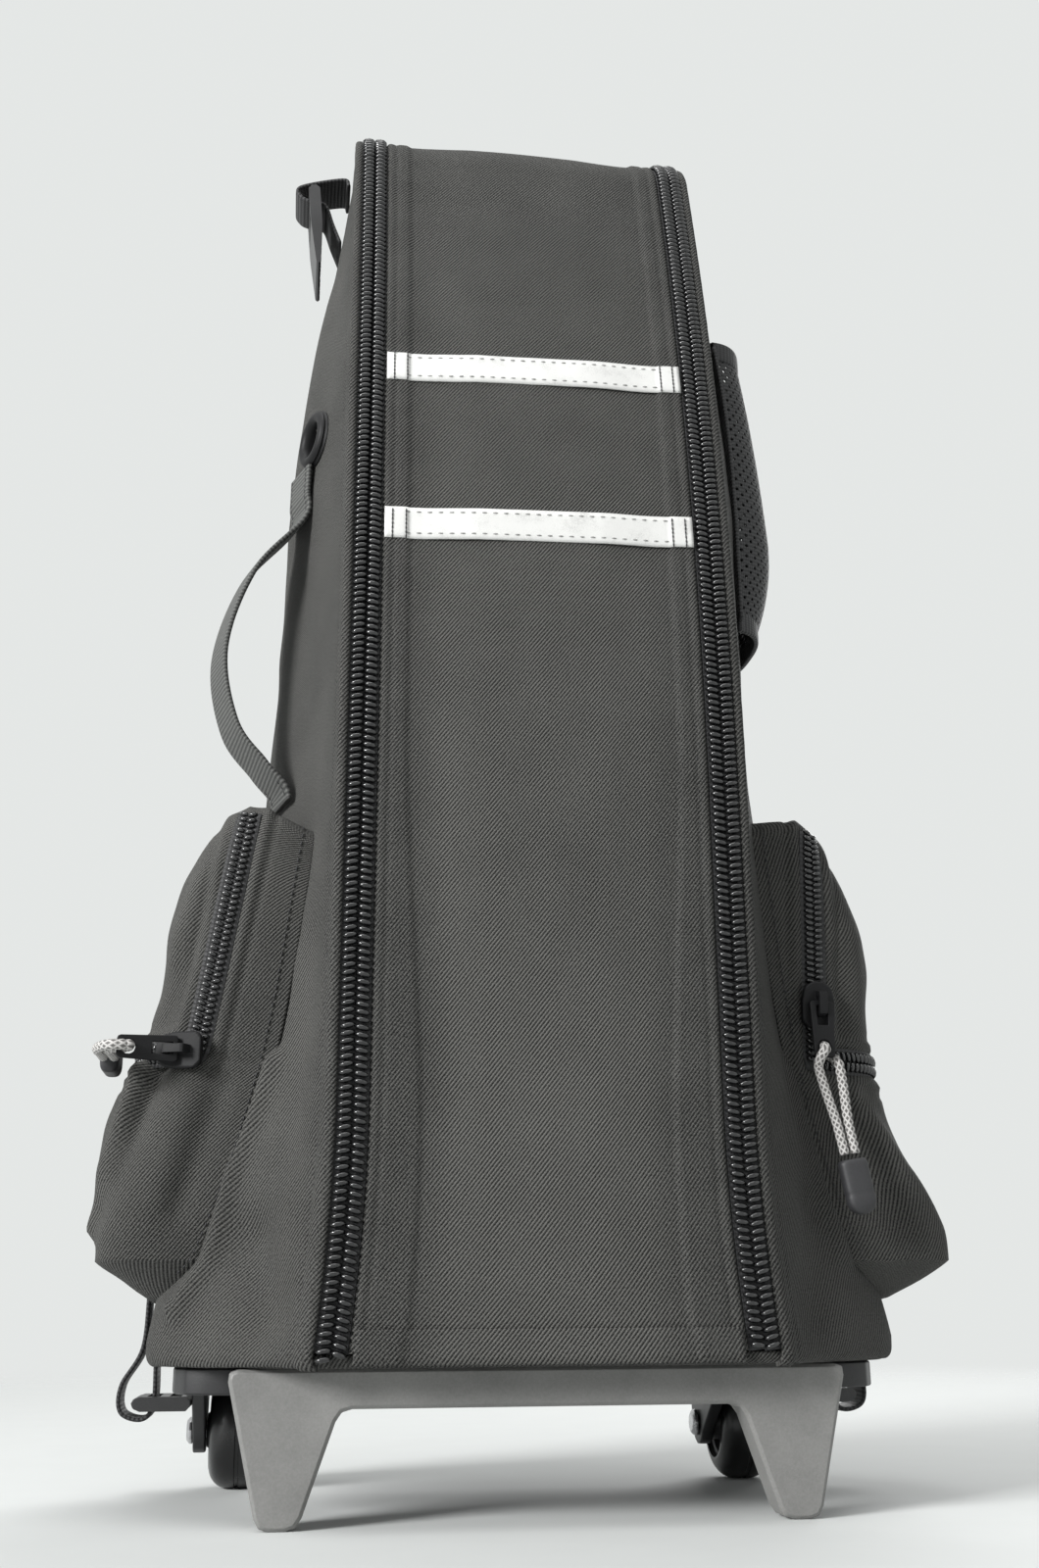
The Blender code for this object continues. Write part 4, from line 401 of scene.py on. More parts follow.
def sheet(columns, rows, spot, lift=None, inside=None, wearAndShading=None, closed=False):
    # spot(i, j) gives a point and its place on the flat cloth; lift moves it along the surface's normal
    bm = bmesh.new()
    bmesh.ops.create_grid(bm, x_segments=columns, y_segments=rows, size=0.5)
    uv = bm.loops.layers.uv.new("cloth")
    # a per-point attribute of rubbed dust and painted light; where it stays low, the darker cloth is painted
    # shade
    rub = bm.verts.layers.float.new("wearAndShading")
    flat = {}
    for vert in bm.verts:
        i, j = round((vert.co.x + 0.5) * columns), round((vert.co.y + 0.5) * rows)
        vert.co, flat[vert] = spot(i, j)
    for face in bm.faces:
        for loop in face.loops:
            loop[uv].uv = flat[loop.vert]
    if closed:
        bmesh.ops.remove_doubles(bm, verts=bm.verts, dist=1e-6)
    bm.normal_update()
    if inside:
        middles = [(face.normal, face.calc_center_median()) for face in bm.faces]
        if sum(normal.dot(middle - inside(middle)) for normal, middle in middles) < 0:
            bmesh.ops.reverse_faces(bm, faces=bm.faces)
            bm.normal_update()
    if lift:
        moves = [(vert, vert.normal.copy(), lift(vert.co, flat[vert])) for vert in bm.verts]
        for vert, normal, amount in moves:
            vert.co += normal * amount
            vert[rub] = wearAndShading(vert.co, flat[vert]) if wearAndShading else clamp(amount * proudRubAndLight)
    return bm


def alongPath(path, sides, size, squareness=2.0, steps=16, relief=None):
    # a closed section carried along a path; size is its half width and half thickness, or gives them at t
    run = runLengths(path)
    frames = []
    for point, ahead, side in zip(path, headings(path), sides):
        side = (side - ahead * side.dot(ahead)).normalized()
        frames.append((point, side, ahead.cross(side)))

    def spot(i, j):
        point, side, face = frames[j]
        angle = math.tau * i / steps
        halfWidth, halfThick = size(run[j] / run[-1]) if callable(size) else size
        bulge = relief(angle, run[j]) if relief else 1.0
        x = signedPower(math.cos(angle), 2 / squareness) * halfWidth * bulge
        y = signedPower(math.sin(angle), 2 / squareness) * halfThick * bulge
        across = x if squareness > 3 else angle / math.tau * math.pi * (halfWidth + halfThick)
        return point + side * x + face * y, (across, run[j])

    return closeEnds(sheet(steps, len(path) - 1, spot, closed=True))


def closeEnds(bm):
    bmesh.ops.holes_fill(bm, edges=[edge for edge in bm.edges if edge.is_boundary], sides=0)
    bmesh.ops.recalc_face_normals(bm, faces=bm.faces)
    return bm


def beads(name, batches, mats, body, slot, nodes=(), around=6, along=4):
    # one small rounded bead per mark: centre, long direction and outward direction
    seed = bmesh.new()
    bmesh.ops.create_uvsphere(seed, u_segments=around, v_segments=along, radius=1.0)
    single = bpy.data.meshes.new("bead")
    bm = bmesh.new()
    for marks, (length, width, height) in batches:
        for centre, ahead, out in marks:
            axes = Matrix((ahead * length, out.cross(ahead).normalized() * width, out * height)).transposed()
            bead = seed.copy()
            bmesh.ops.transform(bead, matrix=Matrix.Translation(centre) @ axes.to_4x4(), verts=bead.verts)
            bead.to_mesh(single)
            bead.free()
            bm.from_mesh(single)
    seed.free()
    bpy.data.meshes.remove(single)
    bmesh.ops.recalc_face_normals(bm, faces=bm.faces)
    return publish(bm, name, mats, body, slot, nodes)


stitch = (0.00105, 0.00034, 0.00028)  # half length, half width and half height of one stitch
stitchPitch = 0.0031


def stitching(name, marks, body, mat=thread):
    beads(name, [(marks, stitch)], [mat], body, "webbing")


# the bag's form: one section that changes with height, shared by wall, flap, zip and pockets
bag = {"baseZ": 0.0487, "height": 0.524, "crownStart": 0.498, "depth": 0.1459, "centreDepth": 0.0861,
       "panelHalf": 0.06075, "flare": 0.0054, "flareHeight": 0.086, "leanStart": 0.191, "leanRadius": 1.132,
       "zipBand": 0.0111, "frontCorner": 0.0025, "sideCorner": 0.014, "backCorner": 0.022,
       "cornerGap": 0.0003, "cornerShare": 0.6, "crownFront": 0.026, "crownSide": 0.002, "crownBack": 0.010,
       "crownLean": 0.6, "flapEnd": 0.1244, "flapCorner": 0.0115, "hinge": 0.0046, "wall": 0.0026,
       "lipStrip": 0.012,
       "half": ((0.008, 0.133), (0.201, 0.104), (0.391, 0.0935), (0.498, 0.07565)),
       "break": ((0.008, 0.040), (0.201, 0.085), (0.391, 0.066), (0.498, 0.078)),
       "tuck": ((0.391, 0.006), (0.498, 0.0015))}
bagTop = bag["baseZ"] + bag["height"]


def between(height, stations):
    # a smooth curve through (height, value) stations, level beyond its ends
    if height <= stations[0][0]:
        return stations[0][1]
    slopes = [(b[1] - a[1]) / (b[0] - a[0]) for a, b in zip(stations, stations[1:])]
    tangents = [slopes[0], *[(a + b) / 2 for a, b in zip(slopes, slopes[1:])], slopes[-1]]
    for k, (low, high) in enumerate(zip(stations, stations[1:])):
        if height < high[0]:
            span = high[0] - low[0]
            t = (height - low[0]) / span
            return (low[1] * (1 + 2 * t) * (1 - t) ** 2 + tangents[k] * span * t * (1 - t) ** 2
                    + high[1] * t * t * (3 - 2 * t) + tangents[k + 1] * span * t * t * (t - 1))
    return stations[-1][1]


def at(x, depth, z):
    return Vector((x, depth - bag["centreDepth"], z))


def panelHalf(height):
    return bag["panelHalf"] + bag["flare"] * max(0.0, 1 - height / bag["flareHeight"]) ** 2


def frontDepth(height):
    return max(0.0, height - bag["leanStart"]) ** 2 / (2 * bag["leanRadius"])


def quarter(steps):
    # angles from 0 to a right angle
    return [math.pi / 2 * k / steps for k in range(steps + 1)]


def fill(a, b, steps):
    # the points strictly between two points
    return [a.lerp(b, k / steps) for k in range(1, steps)]


def bend(before, point, after, reach, steps):
    reach = min(reach, 0.45 * (before - point).length, 0.45 * (after - point).length)
    start = point + (before - point).normalized() * reach
    stop = point + (after - point).normalized() * reach
    return [start * (1 - t) ** 2 + point * (2 * t * (1 - t)) + stop * t ** 2
            for t in (step / steps for step in range(steps + 1))]


def halfSection(height, front=0.0, side=0.0, back=0.0):
    # the right half of the outline, from the zip's outer edge round to the middle of the back
    half = between(height, bag["half"])
    zipEdge = panelHalf(height) + bag["zipBand"]
    edge = min(zipEdge + bag["frontCorner"], half - bag["cornerGap"])
    face = frontDepth(height) - front
    start = Vector((zipEdge, face))
    shoulder = Vector((edge + bag["cornerShare"] * side, face))
    flank = Vector((half + side, between(height, bag["break"])))
    heel = Vector((half - between(height, bag["tuck"]) + side, bag["depth"] + back))
    rear = Vector((0.0, heel.y))
    one = bend(start, shoulder, flank, bag["frontCorner"], 4)
    two = bend(shoulder, flank, heel, bag["sideCorner"], 8)
    three = bend(flank, heel, rear, bag["backCorner"], 8)
    strip = min(bag["lipStrip"], 0.5 * (two[0] - one[-1]).length)
    near = one[-1] + (two[0] - one[-1]).normalized() * strip
    return [start, *one, *fill(one[-1], near, 12), near, *fill(near, two[0], 34), *two,
            *fill(two[-1], three[0], 22), *three, *fill(three[-1], rear, 20), rear]


def wallX(height, depth):
    section = halfSection(height)
    for near, far in zip(section, section[1:]):
        if near.y <= depth <= far.y and far.y > near.y:
            return near.x + (far.x - near.x) * (depth - near.y) / (far.y - near.y)
    return section[-1].x


def wallPoint(height, depth, side, step=0.006):
    back = wallX(height, depth + step) - wallX(height, depth - step)
    rise = wallX(height + step, depth) - wallX(height - step, depth)
    out = Vector((side * 2 * step, -back, -rise)).normalized()
    return at(side * wallX(height, depth), depth, bag["baseZ"] + height), out


def crease(depth, width, *points):
    # depth is its height above the cloth, so a hollow is negative
    return [Vector(point) for point in points], depth, width


# bag wall: lips along the zip, a topstitched groove, slack cloth and the folds that the pockets pull
wallLook = {"lowRows": 88, "lowHeight": 0.17, "rows": 76, "crownRows": 10, "hemRows": 6, "hemTurn": 0.0030,
            "hemGap": 0.0004, "measureRow": 66, "lip": 0.0007, "lipEnd": 0.0062, "lipFade": 0.002,
            "groove": 0.0072, "grooveDepth": 0.0006, "grooveWidth": 0.0011, "slack": 0.0011, "fine": 0.00035,
            "slackFrom": (0.006, 0.02), "slackTop": (0.575, 0.05), "pucker": 0.00018, "puckerPitch": 0.011,
            "puckerAt": (0.010, 0.005), "creaseFrom": (0.007, 0.006), "wearAndShading": 0.16, "wearDrift": 0.30,
            "zipShadeFrom": (0.008, 0.012), "stitchRows": slice(8, -4), "stitchSink": 0.0004}
wallCreases = (
    crease(0.0046, 0.0038, (-0.094, -0.058, 0.150), (-0.104, -0.053, 0.115), (-0.111, -0.052, 0.082),
           (-0.122, -0.049, 0.066)),
    crease(-0.0052, 0.011, (-0.100, -0.066, 0.088), (-0.091, -0.072, 0.066)),
    crease(-0.0018, 0.008, (-0.084, -0.072, 0.190), (-0.088, -0.070, 0.115)),
    crease(0.0028, 0.0050, (0.096, -0.057, 0.150), (0.110, -0.054, 0.085)),
    crease(-0.0036, 0.012, (0.100, -0.066, 0.100), (0.092, -0.072, 0.066)),
    crease(-0.0016, 0.010, (-0.096, -0.030, 0.36), (-0.088, -0.045, 0.30)),
    crease(-0.0014, 0.010, (0.096, -0.035, 0.33), (0.090, -0.050, 0.27)))
port = {"height": 0.358, "depth": 0.044, "hole": 0.0085}  # the tube's way out, in the left wall


def rising(value, start, run):
    return clamp((value - start) / run)


def wallRows():
    # (half section, height) from the hem's edge up to the crown
    low = bag["hinge"] - wallLook["hemGap"]
    middle, high = wallLook["lowHeight"], bag["crownStart"]
    centre = Vector((0.0, bag["depth"] / 2))
    rings = []
    for angle in quarter(wallLook["hemRows"])[:0:-1]:
        height, inset = low * (1 - math.sin(angle)), wallLook["hemTurn"] * (1 - math.cos(angle))
        rings.append(([p + (centre - p).normalized() * inset for p in halfSection(height)], height))
    for start, stop, rows in ((low, middle, wallLook["lowRows"]), (middle, high, wallLook["rows"])):
        heights = [start + (stop - start) * k / rows for k in range(rows)]
        rings += [(halfSection(height), height) for height in heights]
    for angle in quarter(wallLook["crownRows"]):
        shrink, climb = 1 - math.cos(angle), bag["crownFront"] * math.sin(angle)
        sizes = [-bag[key] * shrink for key in ("crownFront", "crownSide", "crownBack")]
        rings.append((halfSection(high + bag["crownLean"] * climb, *sizes), high + climb))
    return rings


def bagWall():
    rings = wallRows()
    arcs = [runLengths(section) for section, height in rings]
    last = len(rings[0][0]) - 1
    whole = 2 * arcs[wallLook["measureRow"]][-1]

    def spot(i, j):
        section, height = rings[j]
        k, side = (i, -1) if i <= last else (2 * last - i, 1)
        flat = arcs[j][k] if side < 0 else whole - arcs[j][k]
        return at(side * section[k].x, section[k].y, bag["baseZ"] + height), (flat, -height)

    def fromZip(flat):
        return min(flat[0], whole - flat[0])

    def lift(point, flat):
        s = fromZip(flat)
        top, topRun = wallLook["slackTop"]
        free = rising(s, *wallLook["slackFrom"]) * clamp((top - point.z) / topRun)
        amount = wallLook["lip"] * (1 - rising(s, wallLook["lipEnd"], wallLook["lipFade"]))
        amount -= wallLook["grooveDepth"] * hump(s, wallLook["groove"], wallLook["grooveWidth"])
        amount += ripple(point, 22.0, wallLook["slack"], 1.0) * free
        amount += ripple(point, 60.0, wallLook["fine"], 2.0) * free
        wrinkle = math.sin(point.z * math.tau / wallLook["puckerPitch"])
        amount += wallLook["pucker"] * wrinkle * hump(s, *wallLook["puckerAt"])
        loose = rising(s, *wallLook["creaseFrom"])
        return amount + sum(hollowAlong(point, fold) for fold in wallCreases) * loose

    # paler away from the zip, as rub with a random drift; the darker cloth next to the zip is painted shade
    def wearAndShading(point, flat):
        drift = wallLook["wearAndShading"] + ripple(point, 16.0, wallLook["wearDrift"], 8.0)
        return rising(fromZip(flat), *wallLook["zipShadeFrom"]) * drift

    bm = sheet(2 * last, len(rings) - 1, spot, lift, lambda p: Vector((0, -0.01, p.z)), wearAndShading)
    centre = wallPoint(port["height"], port["depth"], -1)[0]
    hole = [face for face in bm.faces if (face.calc_center_median() - centre).length < port["hole"]]
    bmesh.ops.delete(bm, geom=hole, context="FACES")
    obj = publish(bm, "bag_cloth", [twillCloth, lining], "bag", "twill_cloth", ["bag_shell"])
    return thicken(obj, bag["wall"], inner=1)


# bag floor: the hem rolls under the bag and closes in a flat floor
floorLook = {"lip": 0.0042, "inset": 0.0018, "roll": 0.0030, "rollRows": 6, "reach": 0.133, "rows": 12,
             "slack": 0.0004, "slackLow": 0.0495}


def ringAt(height, inset):
    # a full closed ring of the section, front included
    section = [Vector((x, frontDepth(height))) for x in (0.0, 0.02, 0.04)] + halfSection(height)
    centre = Vector((0.0, bag["depth"] / 2))
    points = []
    for side, run in ((1, section), (-1, section[-2:0:-1])):
        for p in run:
            q = p + (centre - p).normalized() * min(inset, (centre - p).length)
            points.append(at(side * q.x, q.y, bag["baseZ"] + height))
    return points


def bagFloor():
    lip, inset, roll, rows = (floorLook[key] for key in ("lip", "inset", "roll", "rows"))
    rings = [ringAt(lip * (1 - math.sin(angle)), inset + roll * (1 - math.cos(angle)))
             for angle in quarter(floorLook["rollRows"])]
    rings += [ringAt(0.0, inset + roll + floorLook["reach"] * (k / rows) ** 1.2) for k in range(1, rows + 1)]
    count = len(rings[0])
    around = runLengths(rings[0] + rings[0][:1])
    down = runLengths([ring[0] for ring in rings])

    def spot(i, j):
        return rings[j][i % count], (around[i], -down[j])

    def lift(point, flat):
        return ripple(point, 40.0, floorLook["slack"], 5.0) if point.z > floorLook["slackLow"] else 0.0

    bm = sheet(count, len(rings) - 1, spot, lift, lambda p: Vector((0, -0.01, 0.12)), closed=True)
    return thicken(publish(bm, "bag_floor", [twillCloth, lining], "bag", "twill_cloth"), bag["wall"], inner=1)


# front flap: a crowned panel with a doubled band along both edges, which widens towards the foot
flapLook = {"edgeBand": 0.0090, "bandFlare": 0.0072, "flareTop": 0.22, "flareRun": 0.16, "bandRise": 0.0009,
            "bandStep": 0.002, "stitch": 0.0042, "stitchSink": 0.00045, "stitchWidth": 0.0009,
            "stitchProud": 0.00012, "edgeDrop": 0.0011, "edgeRun": 0.0016, "wall": 0.0024, "crown": 0.0012,
            "crownFrom": (0.016, 0.02), "endRun": 0.02, "slack": 0.0008, "slackRun": 0.01, "fine": 0.00028,
            "pucker": 0.00013, "puckerPitch": 0.013, "puckerAt": (0.007, 0.004), "levels": 200,
            "crownSteps": 16, "topSteps": 24, "edgeStep": (0.0008, 24), "midStep": (0.0030, 14),
            "clothShift": 0.2, "wearAndShading": 0.74, "wearDrift": 0.36, "edgeShadeRun": 0.014}


def flapProfile():
    # (half width, depth, z) from the hinge up the front, over the crown and back, and the length so far
    path = []
    levels, start = flapLook["levels"], bag["crownStart"]
    for k in range(levels):
        height = bag["hinge"] + (start - bag["hinge"]) * k / levels
        path.append((panelHalf(height), frontDepth(height), bag["baseZ"] + height))
    for angle in quarter(flapLook["crownSteps"]):
        climb = bag["crownFront"] * math.sin(angle)
        face = frontDepth(start + bag["crownLean"] * climb) + bag["crownFront"] * (1 - math.cos(angle))
        path.append((bag["panelHalf"], face, bag["baseZ"] + start + climb))
    first, stop, corner = path[-1][1], bag["flapEnd"], bag["flapCorner"]
    for angle in quarter(flapLook["topSteps"])[1:]:
        depth = first + (stop - first) * math.sin(angle)
        over = rising(depth, stop - corner, corner)
        path.append((bag["panelHalf"] - corner * (1 - math.sqrt(1 - over * over)), depth, bagTop))
    return path, runLengths([Vector(point[1:]) for point in path])


flapPath, flapRun = flapProfile()


def flapInset(flat):
    # distance from the panel's nearer edge
    return bag["panelHalf"] - abs(flat[0] - flapLook["clothShift"])


def flapFlat(share, along):
    return share * bag["panelHalf"] + flapLook["clothShift"], along


def bandEdge(along):
    t = clamp((flapLook["flareTop"] - along) / flapLook["flareRun"])
    return flapLook["edgeBand"] + flapLook["bandFlare"] * t * t * (3 - 2 * t)


def bandLift(s, along):
    return flapLook["bandRise"] * clamp((bandEdge(along) + flapLook["bandStep"] - s) / flapLook["bandStep"])


def panelCrown(s):
    return flapLook["crown"] * rising(s, *flapLook["crownFrom"])


def flapWearAndShading(point, flat):
    # rubbed pale in the middle of the panel, most of all low down, and the paler middle is painted light as
    # well; the darker bands along both edges are painted shade
    inner = rising(flapInset(flat), bandEdge(flat[1]), flapLook["edgeShadeRun"])
    low = clamp(1.15 - flat[1] / 0.5, 0.25)
    return inner * low * (flapLook["wearAndShading"] + ripple(point, 14.0, flapLook["wearDrift"], 6.0))


def bagFlap():
    half = bag["panelHalf"]
    (fine, fineCount), (coarse, coarseCount) = flapLook["edgeStep"], flapLook["midStep"]
    stations = [k * fine for k in range(fineCount)]
    stations += [fine * fineCount + k * coarse for k in range(coarseCount)]
    shares = [1 - s / half for s in stations]
    spread = [-share for share in shares] + [0.0] + shares[::-1]

    def spot(i, j):
        width, depth, z = flapPath[j]
        return at(spread[i] * width, depth, z), flapFlat(spread[i], flapRun[j])

    def lift(point, flat):
        s, along = flapInset(flat), flat[1]
        ends = min(1.0, along / flapLook["endRun"])
        amount = bandLift(s, along)
        amount -= flapLook["stitchSink"] * hump(s, flapLook["stitch"], flapLook["stitchWidth"])
        amount -= flapLook["edgeDrop"] * max(0.0, 1 - s / flapLook["edgeRun"]) ** 2
        amount += panelCrown(s) * ends * (1 - ((s - half) / half) ** 2)
        slack = ripple(point, 16.0, flapLook["slack"], 3.0) + ripple(point, 45.0, flapLook["fine"], 4.0)
        amount += slack * min(1.0, s / flapLook["slackRun"]) * ends
        wrinkle = math.sin(along * math.tau / flapLook["puckerPitch"])
        return amount + flapLook["pucker"] * wrinkle * hump(s, *flapLook["puckerAt"])

    def inside(point):
        return Vector((0, 0.02, min(point.z, 0.5)))

    bm = sheet(len(spread) - 1, len(flapPath) - 1, spot, lift, inside, flapWearAndShading)
    obj = publish(bm, "flap_cloth", [flapCloth, lining], "flap", "twill_cloth", ["front_flap"])
    return thicken(obj, flapLook["wall"], inner=1)


# hinge strip: a narrow band of cloth across the flap's foot
hingeLook = {"low": 0.0012, "high": 0.0118, "side": 0.0016, "proud": 0.0005, "thick": 0.0007, "turn": 0.0024,
             "columns": 90, "levels": 24, "under": 0.0012, "underRows": 6}


def hingeStrip():
    columns, levels = hingeLook["columns"], hingeLook["levels"]

    def spot(i, j):
        height = hingeLook["low"] + (hingeLook["high"] - hingeLook["low"]) * j / levels
        half = panelHalf(height)
        x = (half - hingeLook["side"]) * (2 * i / columns - 1)
        under = hingeLook["under"] * max(0.0, 1 - j / hingeLook["underRows"]) ** 2
        depth = frontDepth(height) - hingeLook["proud"] - bandLift(half - abs(x), height) + under
        return at(x, depth, bag["baseZ"] + height), flapFlat(x / half, height - bag["hinge"])

    # the strip takes the flap's rubbed pale middle, with its painted light and painted shade
    bm = sheet(columns, levels, spot, lambda p, flat: 0.0, lambda p: Vector((p.x, 0.1, p.z)), flapWearAndShading)
    obj = publish(bm, "hinge_cloth", [flapCloth, lining], None, "twill_cloth")
    thicken(obj, hingeLook["thick"], 1.0, inner=1)
    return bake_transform(obj)


def flapEdge(spread):
    # the zip's line round the flap, left foot to right foot, as points with outward directions
    half = []
    for k, (width, depth, z) in enumerate(flapPath):
        if depth > bag["flapEnd"] - bag["flapCorner"]:
            break
        before, after = flapPath[max(k - 1, 0)], flapPath[k + 1]
        run = Vector((0, after[1] - before[1], after[2] - before[2])).normalized()
        half.append((at(-(width + spread), depth, z), Vector((0, -run.z, run.y))))
    reach = bag["flapCorner"] + spread
    x, depth = -(bag["panelHalf"] + spread), bag["flapEnd"] + spread
    for angle in quarter(11)[1:]:
        ahead, aside = reach * (1 - math.sin(angle)), reach * (1 - math.cos(angle))
        half.append((at(x + aside, depth - ahead, bagTop), up))
    edge = half[-1][0]
    half += [(edge.lerp(Vector((0, edge.y, edge.z)), k / 10), up) for k in range(1, 11)]
    return half + [(Vector((-p.x, p.y, p.z)), Vector((-n.x, n.y, n.z))) for p, n in reversed(half[:-1])]


# coil zip: leaning glossy coils in two rows that mesh in the middle, on woven tape
zipLook = {"pitch": 0.0026, "coil": (0.0029, 0.00112, 0.00165), "reach": 0.0025, "lean": 0.20,
           "proud": 0.0008, "tape": 0.0054, "tapeHalf": (0.0030, 0.00045), "tapeSink": 0.0006,
           "overrun": 0.0032}


def coilMarks(points, outs, look, inward):
    marks = []
    for point, ahead, out in marksAlong(points, outs, look["pitch"]):
        side = ahead.cross(out).normalized() * inward
        along = (side * math.cos(look["lean"]) - ahead * math.sin(look["lean"])).normalized()
        marks.append((point + side * look["reach"] + out * look["proud"], along, out))
    return marks


def zipTapeBand(name, line, half, body, node):
    path = [p - n * zipLook["tapeSink"] for p, n in line]
    sides = [ahead.cross(n) for ahead, (p, n) in zip(headings(path), line)]
    publish(alongPath(path, sides, half, 6.0, 12), name, [zipTape], body, "zip_coil", [node])


def mainZip(name, body, node, inner, inward):
    points, outs = zip(*flapEdge(bag["zipBand"] / 2))
    first = zipLook["pitch"] / 2 - zipLook["overrun"] if inward < 0 else 0.0
    marks = coilMarks([points[0] + up * first, *points[1:]], outs, zipLook, inward)
    beads(name + "_coils", [(marks, zipLook["coil"])], [coil], body, "zip_coil", [node], 8, 5)
    zipTapeBand(name + "_tape", flapEdge(inner + zipLook["tape"] / 2), zipLook["tapeHalf"], body, node)


def mainStitching():
    marks = []
    for side in (-1, 1):
        points, outs = [], []
        for section, height in wallRows()[wallLook["stitchRows"]]:
            run = runLengths(section)
            k = next(k for k in range(len(run) - 1) if run[k + 1] >= wallLook["groove"])
            a, b = section[k], section[k + 1]
            p = a.lerp(b, (wallLook["groove"] - run[k]) / (run[k + 1] - run[k]))
            outs.append(Vector((side * (b - a).y, -(b - a).x, 0)).normalized())
            points.append(at(side * p.x, p.y, bag["baseZ"] + height) - outs[-1] * wallLook["stitchSink"])
        marks += marksAlong(points, outs, stitchPitch)
    stitching("bag_topstitch", marks, "bag")
    line = flapEdge(-flapLook["stitch"])
    points, outs = [p + n * flapLook["stitchProud"] for p, n in line], [n for p, n in line]
    stitching("flap_topstitch", marksAlong(points, outs, stitchPitch), "flap")


# silver tapes: two rows of stitching and a doubled, stitched tab at each end
tapeLook = {"height": 0.0138, "rises": {"upper": 0.3720, "lower": 0.2970}, "side": 0.0006, "tab": 0.0088,
            "tabRise": 0.0005, "thick": 0.0007, "proud": 0.0011, "lean": 0.030, "edgeDrop": 0.0004,
            "columns": 90, "levels": 10, "rowInset": 0.0022, "rowPitch": 0.0042, "rowStep": 0.002,
            "tabRows": (0.0030, 0.0082), "tabPitch": 0.0019, "threadProud": 0.0001}


def frontAt(x, height, proud):
    height += tapeLook["lean"] * x
    slope = max(0.0, height - bag["leanStart"]) / bag["leanRadius"]
    return at(x, frontDepth(height) - proud, bag["baseZ"] + height + proud * slope)


def tapeAcross(name, low):
    half = panelHalf(low) - tapeLook["side"]
    columns, levels, tall = (tapeLook[key] for key in ("columns", "levels", "height"))

    def swell(x):
        s = half - abs(x)
        return tapeLook["proud"] + panelCrown(s) + (tapeLook["tabRise"] if s < tapeLook["tab"] else 0.0)

    def spot(i, j):
        x, height = half * (2 * i / columns - 1), low + tall * j / levels
        edge = tapeLook["edgeDrop"] * max(abs(2 * j / levels - 1) - 0.75, 0) * 4
        slack = ripple(Vector((x, height, 0.0)), 90.0, 0.0002, 6.0)
        return frontAt(x, height, swell(x) - edge + slack), (x + 0.3, height)

    def sewn(places, pitch):
        points = [frontAt(x, low + rise, swell(x) + tapeLook["threadProud"]) for x, rise in places]
        return marksAlong(points, [-deepward] * len(points), pitch)

    bm = sheet(columns, levels, spot, inside=lambda p: Vector((0, 0.1, p.z)))
    node = "reflective_tape_" + name
    obj = publish(bm, "silver_tape_" + name, [silverTape], "flap", "reflective_tape", [node])
    thicken(obj, tapeLook["thick"])
    first, step = tapeLook["tab"] - half, tapeLook["rowStep"]
    xs = [first + k * step for k in range(int(-2 * first / step) + 1)]
    rows, tabs = [], []
    for rise in (tapeLook["rowInset"], tall - tapeLook["rowInset"]):
        rows += sewn([(x, rise) for x in xs], tapeLook["rowPitch"])
    for side in (-1, 1):
        for inset in tapeLook["tabRows"]:
            places = [(side * (half - inset), 0.0004 + tall * 0.95 * k / 8) for k in range(9)]
            tabs += sewn(places, tapeLook["tabPitch"])
    return rows, tabs


def silverTapes():
    upper, lower = (tapeAcross(name, low) for name, low in tapeLook["rises"].items())
    stitching("tape_stitching", upper[0] + lower[0], "flap", greyThread)
    stitching("tape_tab_stitching", upper[1] + lower[1], "flap")


bagWall()
bagFloor()
bagFlap()
hingeStrip()
mainZip("body_zip", "bag", "main_zip_body", 0.0057, -1)
mainZip("flap_zip", "flap", "main_zip_flap", 0.0003, 1)
mainStitching()
silverTapes()
print("bag, flap and main zip sewn")


# side pockets: soft boxes sewn on the walls, pinched along their zips; the right one is dented as it hangs
pocket = {"root": 0.080, "frontTop": 0.020, "frontFoot": 0.034, "back": 0.121, "foot": 0.021, "seam": 0.104,
          "top": 0.196, "footRise": 0.013, "footTuck": 0.021, "topRound": 0.006, "tuckShare": 0.45,
          "reach": ((0.021, 0.153), (0.089, 0.150), (0.104, 0.143), (0.154, 0.1325), (0.196, 0.112)),
          "frontDrop": {-1: 0.012, 1: 0.003}, "zipTop": 0.190, "zipTopX": 0.106,
          "zipFootX": {-1: 0.1205, 1: 0.1040}, "zipBack": 0.100, "zipProud": 0.0014, "wall": 0.0016,
          "columns": 150, "rows": 90, "underReach": 0.042, "lidReach": 0.03, "pinch": 0.0010,
          "piping": 0.0009, "seamDip": 0.0005, "slack": 0.0018, "fine": 0.0005, "wearAndShading": 0.24,
          "wearDrift": 0.34, "foldWear": 90.0, "stitchColumn": 5, "stitchRows": slice(16, -8)}
pocketPuff = {0: ((0.0, 0.0), (1.0, 0.0)),
              -1: ((0.100, 0.0), (0.123, -0.001), (0.159, 0.002), (0.172, 0.0042), (0.183, 0.0037),
                   (0.196, 0.0)),
              1: ((0.021, 0.004), (0.042, 0.005), (0.052, 0.001), (0.063, -0.006), (0.074, -0.010),
                  (0.088, -0.0125), (0.104, -0.009), (0.124, -0.006), (0.142, -0.003), (0.172, 0.0))}
